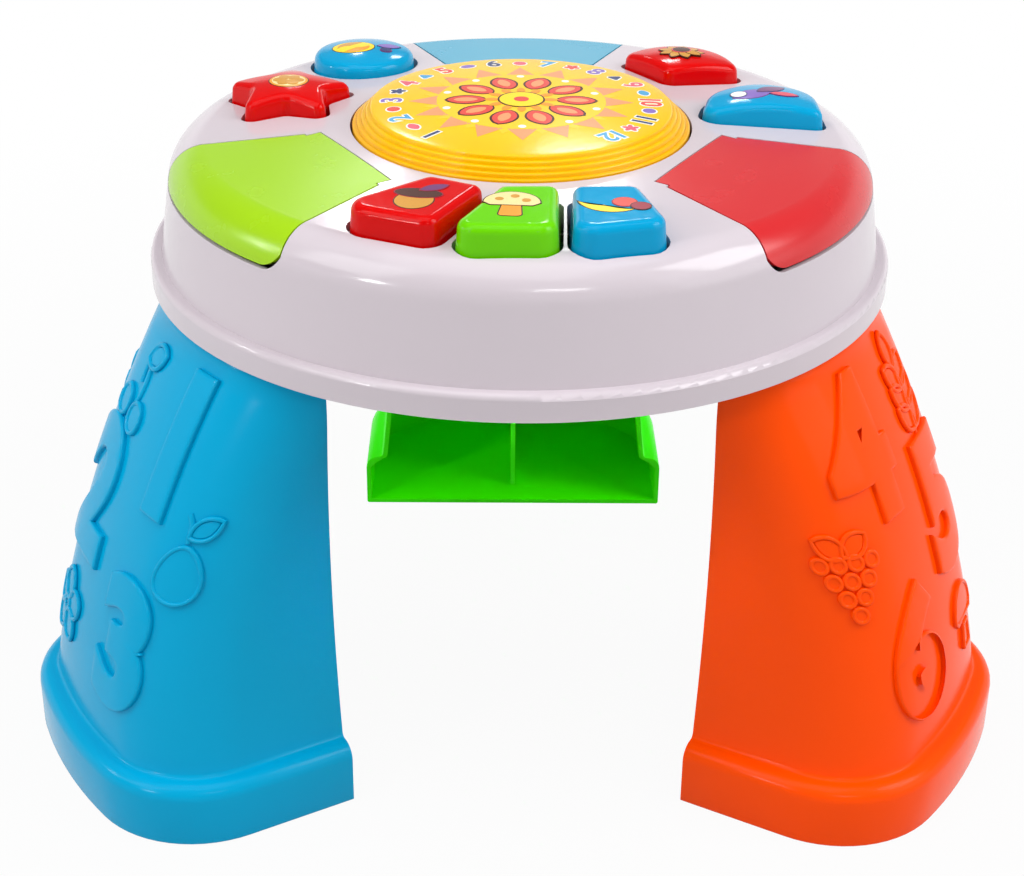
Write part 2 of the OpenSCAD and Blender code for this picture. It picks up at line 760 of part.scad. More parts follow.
module leg(az, colour) {
    color(colour) rotate([0, 0, az]) difference() {
        union() {
            difference() {
                leg_outside();
                difference() {
                    leg_inside();
                    // Middle rib
                    translate([rib_in, -rib_t / 2, -1]) cube([foot_r, rib_t, lip_z]);
                }
            }
            // Tenons with their barbs
            for (s = [-1, 1]) translate([tenon_at.x, s * tenon_at.y, leg_top - leg_wall / 2]) {
                centred_box([tenon.x, tenon.y, tenon.z + leg_wall / 2], 0);
                translate([-tenon.x / 2 - barb.x, -barb.y / 2, barb_z - leg_top + leg_wall / 2])
                    cube([barb.x + 1, barb.y, barb.z]);
            }
        }
        // Cores of the tenons, open from below
        for (s = [-1, 1]) translate([tenon_at.x, s * tenon_at.y, leg_top - leg_wall - 1])
            centred_box([tenon.x - 2 * leg_wall, tenon.y - 2 * leg_wall, tenon.z + leg_wall + 1 - 2.5], 0);
    }
}

module leg_blue() leg(leg_az[0], "#1097cf");
module leg_orange() leg(leg_az[1], "#ff5d0a");
module leg_green() leg(leg_az[2], "#3cc400");

// ---- underside pieces ----

module pan_screw(p, z, down, length) {
    at(p, z) rotate([down ? 180 : 0, 0, 0]) {
        translate([0, 0, -head_h]) difference() {
            cylinder(r = head_r, h = head_h);
            for (a = [0, 90]) rotate([0, 0, a]) centred_box([3.4, 0.8, 1], -0.2);
        }
        cylinder(r = screw_r, h = length);
    }
}

module battery_door() {
    color(housing_white) difference() {
        union() {
            at(battery_at) centred_box([door.x, door.y, door_t], cover_z);
            at(door_screw_at) centred_box([13, 13, door_t], cover_z);
            // Finger ribs
            for (k = [-1 : 1]) at(battery_at + [0, door.y / 2 - 8 + 3 * k])
                centred_box([18, 1, 0.6], cover_z - 0.6);
        }
        at(door_screw_at, cover_z - 1) cylinder(r = clear_r, h = 20);
    }
}

module battery_door_screw() {
    color(steel) pan_screw(door_screw_at, cover_z, false, 9);
}

module batteries() {
    color("#4b5560") for (k = [0 : cells - 1]) {
        s = k % 2 == 0 ? 1 : -1;
        at(battery_at + [(k - (cells - 1) / 2) * (2 * cell_r + 0.6), 0], cover_z + door_t + cell_r + 0.4)
            rotate([-90 * s, 0, 0]) {
                translate([0, 0, -cell_l / 2]) cylinder(r = cell_r, h = cell_l - 1);
                translate([0, 0, cell_l / 2 - 1]) cylinder(r = 2.75, h = 1);
            }
    }
}

// Leaf plates at both ends of the battery box, with a conical spring for each cell
module battery_contacts() {
    plate = [2 * cell_r - 2, 0.5, 2 * cell_r - 2];
    reach = (battery_box.y - cell_l) / 2 - plate.y / 2 - 0.05;
    turn_h = reach / 3;
    color(steel) for (k = [0 : cells - 1], e = [-1, 1]) {
        s = (k % 2 == 0 ? 1 : -1) * e;
        x = (k - (cells - 1) / 2) * (2 * cell_r + 0.6);
        at(battery_at + [x, e * (battery_box.y - plate.y) / 2], cover_z + door_t + 0.4 + cell_r) {
            translate([-plate.x / 2, -plate.y / 2, -plate.z / 2]) cube(plate);
            rotate([90 * e, 0, 0]) {
                if (s > 0) cylinder(r = 3, h = reach);
                else for (i = [0 : 2]) translate([0, 0, i * turn_h])
                    cylinder(r1 = 5 - i, r2 = 4.4 - i, h = turn_h);
            }
        }
    }
}

module speaker() {
    color("#3a3c40") at(speaker_at, cover_top) {
        difference() {
            union() {
                cylinder(r = speaker_r, h = speaker_flange_t);
                translate([0, 0, speaker_flange_t]) cylinder(r1 = speaker_r - 3, r2 = 12, h = 9);
            }
            translate([0, 0, -0.01]) cylinder(r1 = speaker_r - 4, r2 = 8, h = 8);
        }
        translate([0, 0, speaker_flange_t + 9]) cylinder(r = 14.5, h = 7);
    }
}

module speaker_screws() {
    color(steel) for (p = speaker_screw_at) pan_screw(p, cover_top + speaker_flange_t, true, cover_t);
}

module housing_screws() {
    color(steel) for (p = post_at) pan_screw(p, cover_z + head_h + 1.4, false, 14);
}

// ---- boards ----

module light_tray() {
    z = tray_z;
    color("#f7f7f4") difference() {
        union() {
            translate([0, 0, z]) cylinder(r = sun_r + 8, h = tray_t);
            for (p = tray_post_at) at(p, z) cylinder(r = tray_post_r + 1.5, h = tray_t);
            for (a = pad_az) rotate([0, 0, a]) {
                translate([sun_r - 5, -12, z]) cube([plunger_x + 16 - sun_r, 24, tray_t]);
                for (x = pad_board_x) translate([x, 0, z]) cylinder(r = board_post_r, h = board_low - z);
            }
            for (p = light_post_at) at(p, z) cylinder(r = board_post_r, h = board_low - z);
            // Reflector rim round the light board
            difference() {
                translate([0, 0, z]) cylinder(r = rim_r, h = flange_z - sun_travel - 1 - z);
                translate([0, 0, z - 1]) cylinder(r = rim_r - tray_t, h = deck_rise);
            }
        }
        for (p = tray_post_at) at(p, z - 1) cylinder(r = clear_r, h = 9);
        for (p = concat(light_post_at, pad_board_screw_at)) at(p, z + 0.6) cylinder(r = pilot_r, h = 9);
    }
}

module tray_screws() {
    color(steel) for (p = tray_post_at) pan_screw(p, tray_z, false, 9);
}

module light_board() {
    color(board_green) translate([0, 0, board_low]) difference() {
        cylinder(r = light_board_r, h = board_t);
        for (p = light_post_at) at(p, -1) cylinder(r = clear_r, h = 4);
    }
}

module light_leds() {
    color("#fff2c8") for (p = led_at) at(p, board_z) {
        cylinder(r = 2.9, h = 1);
        cylinder(r = 2.5, h = 6);
        translate([0, 0, 6]) intersection() {
            sphere(2.5);
            centred_box([6, 6, 3], 0);
        }
    }
}

// A board that follows the ring of buttons from one direction to another
module ring_board(from, to, posts) {
    color(board_green) translate([0, 0, board_low]) difference() {
        rotate([0, 0, from]) rotate_extrude(angle = to - from)
            translate([board_in, 0]) square([board_out - board_in, board_t]);
        for (p = posts) at(p, -1) cylinder(r = clear_r, h = 4);
        for (p = tray_post_at) at(p, -1) cylinder(r = tray_post_r + 1.5, h = 4);
    }
}

module key_board() ring_board(233, 305.5, key_post_at);
module left_board() ring_board(124, 180, left_post_at);
module right_board() ring_board(1, 62, right_post_at);

module pad_boards() {
    color(board_green) for (a = pad_az) rotate([0, 0, a]) difference() {
        translate([pad_board_x[0] - 6, -11, board_low])
            cube([pad_board_x[1] - pad_board_x[0] + 12, 22, board_t]);
        for (x = pad_board_x) translate([x, 0, board_low - 1]) cylinder(r = clear_r, h = 4);
    }
}

module main_board() {
    color(board_green) at(switch_at, main_board_z) {
        difference() {
            centred_box([main_board_size.x, main_board_size.y, board_t], 0);
            for (p = main_post_at) at(p - switch_at, -1) cylinder(r = clear_r, h = 4);
        }
        // Sealed sound chip, capacitor and connectors
        translate([6, 14, board_t]) intersection() {
            scale([1, 1, 0.35]) sphere(8);
            centred_box([20, 20, 5], 0);
        }
        translate([-14, 18, board_t]) cylinder(r = 3, h = 8);
        for (y = [-26, -14, 27]) translate([-2, y, board_t]) centred_box([12, 5, 6], 0);
    }
}

module board_screws() {
    color(steel) {
        for (p = concat(key_post_at, left_post_at, right_post_at)) pan_screw(p, board_low, false, 8);
        for (p = concat(light_post_at, pad_board_screw_at)) pan_screw(p, board_z, true, 5);
        for (p = main_post_at) pan_screw(p, main_board_z + board_t, true, 8);
    }
}

module switch_body() {
    low = cover_top + 2.2;
    color("#2c2e33") at(switch_at) difference() {
        centred_box([20, 11, main_board_z - low], low);
        centred_box([switch_slot.x, 4.4, 4.6], low - 1);
    }
}

module switch_knob() {
    color("#3a3c44") at(switch_at) {
        centred_box([switch_slot.x - 2 * switch_travel - 1, switch_slot.y - 0.8, cover_t + 0.9],
            cover_z + 0.6);
        centred_box([switch_slot.x + 2 * switch_travel + 1, 8.4, 1.2], cover_top + rest_gap);
        centred_box([5, 3.2, 3.4], cover_top + rest_gap + 1);
    }
}

// ---- domes ----

// Silicone dome that springs a button back
module dome(p, r = 7) {
    color(silicone) at(p, board_z) rotate_extrude() polygon([
        [4, 0], [r, 0], [r, 0.8], [r - 1.2, 0.8], [3.6, dome_h - 1], [3.6, dome_h], [0, dome_h],
        [0, dome_h - 1.8], [2.6, dome_h - 1.8], [5, 0.8], [4, 0.8]
    ]);
}

module sun_domes() for (a = pad_az) dome(polar(sun_dome_r, a));
module red_key_dome() dome(red_key_mid);
module green_key_dome() dome(green_key_mid);
module blue_key_dome() dome(blue_key_mid);
module round_dome() dome(round_at);
module star_dome() dome(star_at);
module fan_dome() dome(fan_mid);
module moon_dome() dome(moon_mid);
module green_pad_dome() dome(polar(plunger_x, pad_az[0]));
module red_pad_dome() dome(polar(plunger_x, pad_az[1]));
module blue_pad_dome() dome(polar(plunger_x, pad_az[2]));

top_shell();
bottom_cover();
leg_blue();
leg_orange();
leg_green();
battery_door();
battery_door_screw();
batteries();
battery_contacts();
speaker();
speaker_screws();
housing_screws();
light_tray();
tray_screws();
light_board();
light_leds();
main_board();
key_board();
left_board();
right_board();
pad_boards();
board_screws();
switch_body();
switch_knob();
sun_lens();
red_key();
green_key();
blue_key();
round_button();
star_button();
fan_button();
moon_button();
green_pad();
red_pad();
blue_pad();
sun_domes();
red_key_dome();
green_key_dome();
blue_key_dome();
round_dome();
star_dome();
fan_dome();
moon_dome();
green_pad_dome();
red_pad_dome();
blue_pad_dome();
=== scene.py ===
"""Looks of a musical activity table: housing, sun disc, buttons, pads and three moulded legs.

Shapes are drawn in millimetres and become metres when a mesh is made. The frame is that of the
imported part: the origin is on the floor at the table's axis, +Z is up and the keys face -Y.
"""
import json
from math import acos, asin, atan2, ceil, cos, pi, radians, sin, sqrt, tan

import bmesh
import bpy
from mathutils import Matrix, Vector


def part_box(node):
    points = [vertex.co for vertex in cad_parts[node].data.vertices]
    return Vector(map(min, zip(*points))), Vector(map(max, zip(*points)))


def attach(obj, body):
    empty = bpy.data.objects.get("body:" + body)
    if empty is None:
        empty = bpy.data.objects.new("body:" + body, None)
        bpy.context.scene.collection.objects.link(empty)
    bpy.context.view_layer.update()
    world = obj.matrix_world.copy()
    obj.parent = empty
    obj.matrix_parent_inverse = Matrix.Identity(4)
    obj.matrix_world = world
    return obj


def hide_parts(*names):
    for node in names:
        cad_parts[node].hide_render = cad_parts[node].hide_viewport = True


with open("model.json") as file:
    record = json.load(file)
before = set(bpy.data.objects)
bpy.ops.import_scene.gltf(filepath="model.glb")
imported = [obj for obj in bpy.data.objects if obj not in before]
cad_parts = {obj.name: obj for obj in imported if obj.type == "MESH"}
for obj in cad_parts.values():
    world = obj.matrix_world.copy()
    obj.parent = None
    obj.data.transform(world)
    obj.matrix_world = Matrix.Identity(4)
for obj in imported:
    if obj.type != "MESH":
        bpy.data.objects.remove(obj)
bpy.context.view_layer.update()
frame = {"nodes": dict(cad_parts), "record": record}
MM = 0.001

# ---- sizes, in millimetres and degrees ----

DECK_Z = (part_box("top_shell")[1] / MM).z
SUN_HIGH_Z = (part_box("sun_lens")[1] / MM).z
DECK_FALL = 3.4
SUN_R = 90
SUN_OPEN_R = 91.2
CREASE_R = 166.73
FLANGE_Z = 309.7
CAP_RIM_Z = FLANGE_Z + 1
CAP_WALL = 2
CAP_DRAFT = 1.4
CAP_EDGE = 3.6
CAP_CROWN = 110
PRINT_LIFT = 0.08

SUN_STEPS = 4
SUN_STEP_H = 2.3
SUN_STEP_W = 2.4
SUN_STEP_LEAN = 0.15
SUN_EDGE = 1.0
SUN_INNER_EDGE = 0.3
SUN_LOW_Z = DECK_Z + 1.2
SUN_TOP_R = SUN_R - SUN_STEPS * SUN_STEP_W
SUN_TOP_Z = SUN_LOW_Z + SUN_STEPS * SUN_STEP_H
SUN_CROWN = SUN_HIGH_Z - SUN_TOP_Z
SUN_CROWN_R = (SUN_TOP_R ** 2 + SUN_CROWN ** 2) / (2 * SUN_CROWN)

LEG_AZIMUTH = {"blue": 210, "orange": 330, "green": 90}
FOOT_R = 283
FOOT_HALF = 98.5
FOOT_H = 35
FOOT_ROUND = 8
FOOT_SHELF = 11
SOLE_ROUND = 1.5
ROOT_HEIGHT = 2.4
ROOT_SWELL = 1.6
LEG_IN = 158
LEG_HALF = 80
LEG_BOW = 0.66
LEG_CORNER = 51
LEG_SHOULDER = 9
LEG_WALL = 3
LEG_EDGE = 0.7
LEG_RINGS = 28
HOLLOW_RINGS = 24
LEG_TOP = 248
LEG_CROWN_R = 198.5
LEG_CROWN_Z = LEG_TOP - LEG_SHOULDER
LEG_SIDE_Z = 155
LEG_BASE_R = FOOT_R - FOOT_SHELF
RIB_IN = 178
RIB_T = 3


# ---- plane shapes ----

def polar(radius, azimuth):
    return Vector((radius * cos(radians(azimuth)), radius * sin(radians(azimuth))))


def circle(centre, radius, count=48):
    return [Vector(centre) + polar(radius, 360 * k / count) for k in range(count)]


def ellipse(centre, half_x, half_y, count=36):
    angles = [2 * pi * k / count for k in range(count)]
    return [Vector(centre) + Vector((half_x * cos(a), half_y * sin(a))) for a in angles]


def leaf(root, length, width, turn, blunt=0.75, count=14):
    """A pointed leaf or petal that grows from its root."""
    spin = Matrix.Rotation(radians(turn), 2)
    half = width / 2
    upper = [Vector((length * k / count, half * sin(pi * k / count) ** blunt))
             for k in range(count)]
    lower = [Vector((length - p.x, -half * sin(pi * (1 - p.x / length)) ** blunt)) for p in upper]
    return [Vector(root) + spin @ p for p in upper + lower]


def crescent(centre, radius, thickness, start, turn, count=16):
    """A sickle that is thickest in its middle."""
    def point(k, depth):
        return Vector(centre) + polar(radius - depth, start + turn * k / count)

    return ([point(k, 0) for k in range(count + 1)]
            + [point(k, thickness * sin(pi * k / count)) for k in range(count - 1, 0, -1)])


def scalloped(centre, radius, depth, lobes, count=8):
    """A round shape with soft lobes round its edge."""
    steps = lobes * count
    reaches = [radius - depth / 2 + depth / 2 * cos(2 * pi * k / count) for k in range(steps)]
    return [Vector(centre) + polar(reach, 360 * k / steps) for k, reach in enumerate(reaches)]


def rounded(corners, step=8):
    """A closed outline with each corner (x, y, radius) rounded."""
    outline = []
    for k, (x, y, radius) in enumerate(corners):
        point = Vector((x, y))
        back = (Vector(corners[k - 1][:2]) - point).normalized()
        ahead = (Vector(corners[(k + 1) % len(corners)][:2]) - point).normalized()
        half = acos(back.dot(ahead)) / 2
        centre = point + (back + ahead).normalized() * radius / sin(half)
        first = point + back * radius / tan(half) - centre
        side = 1 if (-back).cross(ahead) > 0 else -1
        turn = (pi - 2 * half) * side
        start = atan2(first.y, first.x)
        pieces = max(2, ceil(abs(turn) / radians(step)))
        angles = [start + turn * i / pieces for i in range(pieces + 1)]
        outline += [centre + radius * Vector((cos(a), sin(a))) for a in angles]
    return outline


def spaced(outline, longest):
    """The outline with points added so that no side is longer than a given length."""
    points = []
    for a, b in zip(outline, outline[1:] + outline[:1]):
        pieces = max(1, ceil((b - a).length / longest))
        points += [a.lerp(b, k / pieces) for k in range(pieces)]
    return points


def inset(outline, distance):
    """The outline moved inwards, point by point."""
    moved = []
    for k, point in enumerate(outline):
        a = (point - outline[k - 1]).normalized()
        b = (outline[(k + 1) % len(outline)] - point).normalized()
        normal_a, normal_b = Vector((-a.y, a.x)), Vector((-b.y, b.x))
        moved.append(point + distance * (normal_a + normal_b) / (1 + normal_a.dot(normal_b)))
    return moved


def level(outline, height):
    return [Vector((p.x, p.y, height)) for p in outline]


def loft(rings):
    """Vertices and faces of a skin through rings of equal count, with a fan at each end."""
    count = len(rings[0])
    vertices = [p for ring in rings for p in ring]
    last = (len(rings) - 1) * count
    sides = [(base + j, base + (j + 1) % count)
             for base in range(0, last, count) for j in range(count)]
    faces = [(a, b, b + count, a + count) for a, b in sides]
    for base in (0, last):
        centre = sum(vertices[base:base + count], Vector((0, 0, 0))) / count
        faces += [(base + j, base + (j + 1) % count, len(vertices)) for j in range(count)]
        vertices.append(centre)
    return vertices, faces


# ---- shader building ----

class Field:
    """A node's output. Sums, differences and products of fields add Math nodes."""

    def __init__(self, finish, socket):
        self.finish = finish
        self.socket = socket

    def other(self, output):
        """Another output of the same node."""
        return Field(self.finish, self.socket.node.outputs[output])

    def maths(self, operation, a, b):
        return self.finish.node("Math", {"operation": operation}, {0: a, 1: b})

    def __add__(self, other):
        return self.maths("ADD", self, other)

    def __rsub__(self, other):
        return self.maths("SUBTRACT", other, self)

    def __mul__(self, other):
        return self.maths("MULTIPLY", self, other)


class Finish:
    """A material, or the world, that is built node by node."""

    def __init__(self, name, owner=None):
        self.owner = owner or bpy.data.materials.new(name)
        self.owner.use_nodes = True
        self.tree = self.owner.node_tree
        self.tree.nodes.clear()

    def node(self, kind, settings=None, inputs=None, output=0):
        """Adds one node: its settings first, then the values or links of its sockets."""
        node = self.tree.nodes.new("ShaderNode" + kind)
        for key, value in (settings or {}).items():
            if key == "stops":
                set_stops(node.color_ramp, value)
            else:
                setattr(node, key, value)
        for key, value in (inputs or {}).items():
            if isinstance(value, Field):
                self.tree.links.new(value.socket, node.inputs[key])
            else:
                node.inputs[key].default_value = value
        return Field(self, node.outputs[output]) if node.outputs else None

    def place(self):
        return self.node("TexCoord", output="Object")

    def radius(self):
        """Distance from the table's axis."""
        x = self.node("SeparateXYZ", {}, {"Vector": self.place()})
        return x.maths("SQRT", x * x + x.other("Y") * x.other("Y"), 0)

    def seen(self):
        """1 for camera, glossy and transmission rays and 0 for the light that falls on things."""
        camera = self.node("LightPath", output="Is Camera Ray")
        either = camera.maths("MAXIMUM", camera, camera.other("Is Glossy Ray"))
        return either.maths("MAXIMUM", either, camera.other("Is Transmission Ray"))

    def noise(self, scale, detail=2, stretch=(1, 1, 1)):
        at = self.node("Mapping", {}, {"Vector": self.place(), "Scale": stretch})
        return self.node("TexNoise", {}, {"Vector": at, "Scale": scale, "Detail": detail}, "Fac")

    def mixed(self, factor, low, high):
        """A colour between two others."""
        return self.node("Mix", {"data_type": "RGBA"}, {0: factor, 6: low, 7: high}, 2)

    def ramp(self, value, stops):
        return self.node("ValToRGB", {"stops": stops}, {"Fac": value})

    def bumps(self, height, strength, distance):
        return self.node("Bump", {}, {"Height": height, "Strength": strength, "Distance": distance})

    def principled(self, inputs):
        return self.surface(self.node("BsdfPrincipled", {}, inputs))

    def surface(self, shader):
        self.node("OutputMaterial", {}, {"Surface": shader})
        return self.owner


def set_stops(ramp, stops):
    """Gives a colour ramp its stops, each a place and a colour."""
    while len(ramp.elements) < len(stops):
        ramp.elements.new(1)
    for element, (place, colour) in zip(ramp.elements, stops):
        element.position = place
        element.color = colour


def srgb(code, scale=1.0):
    """Scene colour of a hexadecimal sRGB code, made lighter or darker by a factor."""
    channels = [int(code[k:k + 2], 16) / 255 for k in (1, 3, 5)]
    linear = [c / 12.92 if c <= 0.04045 else ((c + 0.055) / 1.055) ** 2.4 for c in channels]
    return (*[min(1, c * scale) for c in linear], 1)


# ---- finishes ----

def moulded(name, code, roughness=0.2, coat=0.0, glow=0.0, grain=0.0, film=0.0, spread=0.05,
            gloss=0.25):
    """Moulded plastic: faint flow shades, uneven polish, orange peel and, if asked, a wavy film."""
    finish = Finish(name)
    flow = finish.noise(7, 3, (1, 1, 2.2))
    colour = finish.mixed(flow, srgb(code, 1 - spread), srgb(code, 1 + spread))
    polish = finish.noise(34, 4)
    peel = finish.noise(260, 2) * 0.25 + finish.noise(2600, 2) * grain
    if film:
        peel = peel + finish.noise(60, 2, (1.3, 0.8, 1)) * film
    return finish.principled({
        "Base Color": colour,
        "Roughness": polish * 0.1 + (roughness - 0.05),
        "Normal": finish.bumps(peel, 0.22, 0.0006),
        "Specular IOR Level": gloss,
        "Coat Weight": coat,
        "Coat Roughness": 0.06,
        "Subsurface Weight": glow,
        "Subsurface Radius": (0.004, 0.004, 0.004),
        "Subsurface Scale": 1.0,
        "IOR": 1.5,
    })


def printed(name, code):
    """Ink under a clear film, with the faint dots of a print."""
    finish = Finish(name)
    dots = finish.node("TexVoronoi", {"feature": "F1"}, {
        "Vector": finish.place(), "Scale": 1900.0}, "Distance")
    colour = finish.mixed(dots, srgb(code, 1.05), srgb(code, 0.9))
    return finish.principled({
        "Base Color": colour,
        "Roughness": finish.noise(40, 3) * 0.08 + 0.2,
        "Specular IOR Level": 0.25,
    })


def sun_finish():
    """Golden lens: yellow in the middle, deeper on the stepped flank."""
    finish = Finish("sun_lens_gold")
    share = finish.radius() * (1 / (SUN_R * MM))
    base = finish.ramp(share, [
        (0.0, srgb("#f4d000")), (0.50, srgb("#f4cc00")), (0.62, srgb("#f4c600")),
        (0.86, srgb("#f4be00")), (0.93, srgb("#f2b800")), (1.0, srgb("#eeaa00"))])
    colour = finish.mixed(finish.noise(16, 3) * 0.2, base, srgb("#ffc81a"))
    return finish.principled({
        "Base Color": colour,
        "Roughness": finish.noise(30, 3) * 0.08 + 0.12,
        "Normal": finish.bumps(finish.noise(210, 2), 0.08, 0.0005),
        "Specular IOR Level": 0.3,
        "Subsurface Weight": 0.35,
        "Subsurface Radius": (0.006, 0.004, 0.002),
        "Subsurface Scale": 1.0,
    })


def metal_finish(name, code):
    """Plated steel with fine drawn lines."""
    finish = Finish(name)
    lines = finish.noise(900, 3, (1, 1, 12))
    return finish.principled({
        "Base Color": finish.mixed(lines, srgb(code, 0.9), srgb(code)),
        "Metallic": 1.0,
        "Roughness": lines * 0.15 + 0.23,
    })


def laminate_finish():
    """Green circuit board with copper tracks under the varnish."""
    finish = Finish("board_laminate")
    tracks = finish.node("TexBrick", {}, {
        "Vector": finish.place(), "Scale": 90.0, "Color1": srgb("#1f6b3c"),
        "Color2": srgb("#256f40"), "Mortar": srgb("#58a06a"), "Mortar Size": 0.03}, "Color")
    return finish.principled({"Base Color": tracks, "Roughness": finish.noise(120, 2) * 0.1 + 0.3})


BUTTON = {"roughness": 0.12, "glow": 0.1, "film": 2, "gloss": 0.16}
PAD = {"roughness": 0.26, "grain": 0.1, "spread": 0.02, "gloss": 0.42}
FINISHES = {
    "housing_plastic": moulded("housing_white", "#cbc1c8", 0.15, spread=0.012, gloss=0.45),
    "blue_plastic": moulded("leg_blue", "#00a0ce", 0.2, gloss=0.1),
    "orange_plastic": moulded("leg_orange", "#ff4c00", 0.2, gloss=0.1),
    "green_plastic": moulded("leg_green", "#3cfa00", 0.22, gloss=0.1),
    "sun_plastic": sun_finish(),
    "red_button_plastic": moulded("button_red", "#d00202", **BUTTON),
    "blue_button_plastic": moulded("button_blue", "#0098c8", **BUTTON),
    "lime_button_plastic": moulded("button_lime", "#68cc00", **BUTTON),
    "green_pad_plastic": moulded("pad_green", "#9ccc00", **PAD),
    "red_pad_plastic": moulded("pad_red", "#cc2226", **PAD),
    "blue_pad_plastic": moulded("pad_blue", "#42a6c6", **PAD),
    "white_plastic": moulded("inner_white", "#efefec", 0.3, spread=0.01),
    "dark_plastic": moulded("switch_dark", "#2e3036", 0.36, grain=0.5),
    "board_laminate": laminate_finish(),
    "lamp_resin": moulded("lamp_resin", "#fff2c8", 0.08, coat=1.0),
    "silicone": moulded("silicone_grey", "#d6d6d0", 0.42, grain=0.3),
    "steel": metal_finish("screw_steel", "#b9bdc1"),
    "cell_jacket": moulded("cell_jacket", "#46525e", 0.26, coat=0.4),
    "speaker_cone": moulded("speaker_black", "#33353a", 0.55, grain=0.7),
}

INKS = {name: printed("ink_" + name, code) for name, code in {
    "white": "#fbf7ef", "navy": "#2c3c70", "rose": "#e0596c", "sky": "#3f9fd0",
    "violet": "#8468bc", "lemon": "#ffdc10", "peach": "#ec9c68", "coral": "#e2483c",
    "cocoa": "#4a1c0c", "amber": "#ee9a20", "cream": "#efdc98", "ochre": "#d09430",
    "plum": "#70346e", "honey": "#fccc14", "wine": "#9a1c34",
}.items()}


# ---- pieces ----

PIECE_WELD = 1e-6


def added(data, name="helper"):
    """A new object of the scene."""
    obj = bpy.data.objects.new(name, data)
    bpy.context.scene.collection.objects.link(obj)
    return obj


def outward(mesh, weld=0.0):
    """The same mesh, welded if asked, with its faces pointing outwards."""
    work = bmesh.new()
    work.from_mesh(mesh)
    if weld:
        bmesh.ops.remove_doubles(work, verts=work.verts, dist=weld)
    bmesh.ops.recalc_face_normals(work, faces=work.faces)
    work.to_mesh(mesh)
    work.free()
    return mesh


def settle(mesh, name, finishes, body, replaced=(), crease=35):
    """Cleans a mesh, smooths it up to a crease angle and puts it on its body as a piece."""
    outward(mesh, PIECE_WELD)
    if len(finishes) == 1:
        mesh.materials.clear()
    for finish in finishes:
        mesh.materials.append(finish)
    mesh.shade_smooth()
    mesh.set_sharp_from_angle(angle=radians(crease))
    piece = added(mesh, name)
    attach(piece, body)
    if replaced:
        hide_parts(*replaced)
    return piece


def mesh_of(name, vertices, faces):
    """A mesh in metres from vertices in millimetres."""
    mesh = bpy.data.meshes.new(name)
    mesh.from_pydata([Vector(v) * MM for v in vertices], [], faces)
    mesh.validate()
    return mesh


def evaluated(obj):
    """The plain mesh of an object with its modifiers applied. The object itself is removed."""
    bpy.context.view_layer.update()
    graph = bpy.context.evaluated_depsgraph_get()
    mesh = bpy.data.meshes.new_from_object(
        obj.evaluated_get(graph), preserve_all_data_layers=True, depsgraph=graph)
    bpy.data.objects.remove(obj)
    return mesh


def rotated(mesh, azimuth):
    copy = mesh.copy()
    copy.transform(Matrix.Rotation(radians(azimuth), 4, "Z"))
    return copy


# ---- geometry trees ----

BEAD_SIDES = 10


def tree_with(name, sizes):
    """An empty geometry tree with named inputs, the values they give, and its end node."""
    tree = bpy.data.node_groups.new(name, "GeometryNodeTree")
    for label, kind in {"Geometry": "Geometry", **sizes}.items():
        tree.interface.new_socket(label, in_out="INPUT", socket_type="NodeSocket" + kind)
    tree.interface.new_socket("Geometry", in_out="OUTPUT", socket_type="NodeSocketGeometry")
    return tree, tree.nodes.new("NodeGroupInput").outputs, tree.nodes.new("NodeGroupOutput")


def add_node(tree, kind, inputs=None, operation=None):
    """Adds a node to a geometry tree, with the values or links of its sockets, for its output."""
    node = tree.nodes.new(kind)
    if operation:
        node.operation = operation
    for key, value in (inputs or {}).items():
        if isinstance(value, bpy.types.NodeSocket):
            tree.links.new(value, node.inputs[key])
        else:
            node.inputs[key].default_value = value
    return node.outputs[0]


def ring_tree():
    """Repeats a shape round the vertical axis, a given number of times."""
    tree, given, end = tree_with("repeat_round_axis", {
        "Count": "Int", "First turn": "Float", "Finish": "Material"})
    points = add_node(tree, "GeometryNodePoints", {"Count": given["Count"]})
    index = add_node(tree, "GeometryNodeInputIndex")
    step = add_node(tree, "ShaderNodeMath", {0: 2 * pi, 1: given["Count"]}, "DIVIDE")
    turn = add_node(tree, "ShaderNodeMath", {0: index, 1: step, 2: given["First turn"]},
                    "MULTIPLY_ADD")
    spin = add_node(tree, "ShaderNodeCombineXYZ", {"Z": turn})
    copies = add_node(tree, "GeometryNodeInstanceOnPoints", {
        "Points": points, "Instance": given["Geometry"], "Rotation": spin})
    solid = add_node(tree, "GeometryNodeRealizeInstances", {"Geometry": copies})
    painted = add_node(tree, "GeometryNodeSetMaterial", {
        "Geometry": solid, "Material": given["Finish"]})
    tree.links.new(painted, end.inputs[0])
    return tree


def bead_tree():
    """Sweeps a round bead along every curve."""
    tree, given, end = tree_with("bead_along_line", {"Radius": "Float", "Finish": "Material"})
    profile = add_node(tree, "GeometryNodeCurvePrimitiveCircle", {
        "Resolution": BEAD_SIDES, "Radius": given["Radius"]})
    sweep = add_node(tree, "GeometryNodeCurveToMesh", {
        "Curve": given["Geometry"], "Profile Curve": profile, "Fill Caps": True})
    solid = add_node(tree, "GeometryNodeRealizeInstances", {"Geometry": sweep})
    painted = add_node(tree, "GeometryNodeSetMaterial", {
        "Geometry": solid, "Material": given["Finish"]})
    tree.links.new(painted, end.inputs[0])
    return tree


RING_TREE = ring_tree()
BEAD_TREE = bead_tree()


def grown(data, tree, values):
    """The mesh that a geometry tree makes from a mesh or curve, with its named inputs set."""
    obj = added(data)
    modifier = obj.modifiers.new("grow", "NODES")
    modifier.node_group = tree
    for item in tree.interface.items_tree:
        if item.in_out == "INPUT" and item.name in values:
            modifier[item.identifier] = values[item.name]
    return evaluated(obj)


# ---- reliefs and prints: plane shapes that are laid on a surface ----

FLAT_WELD = 1e-4
BEVEL_STEPS = 3


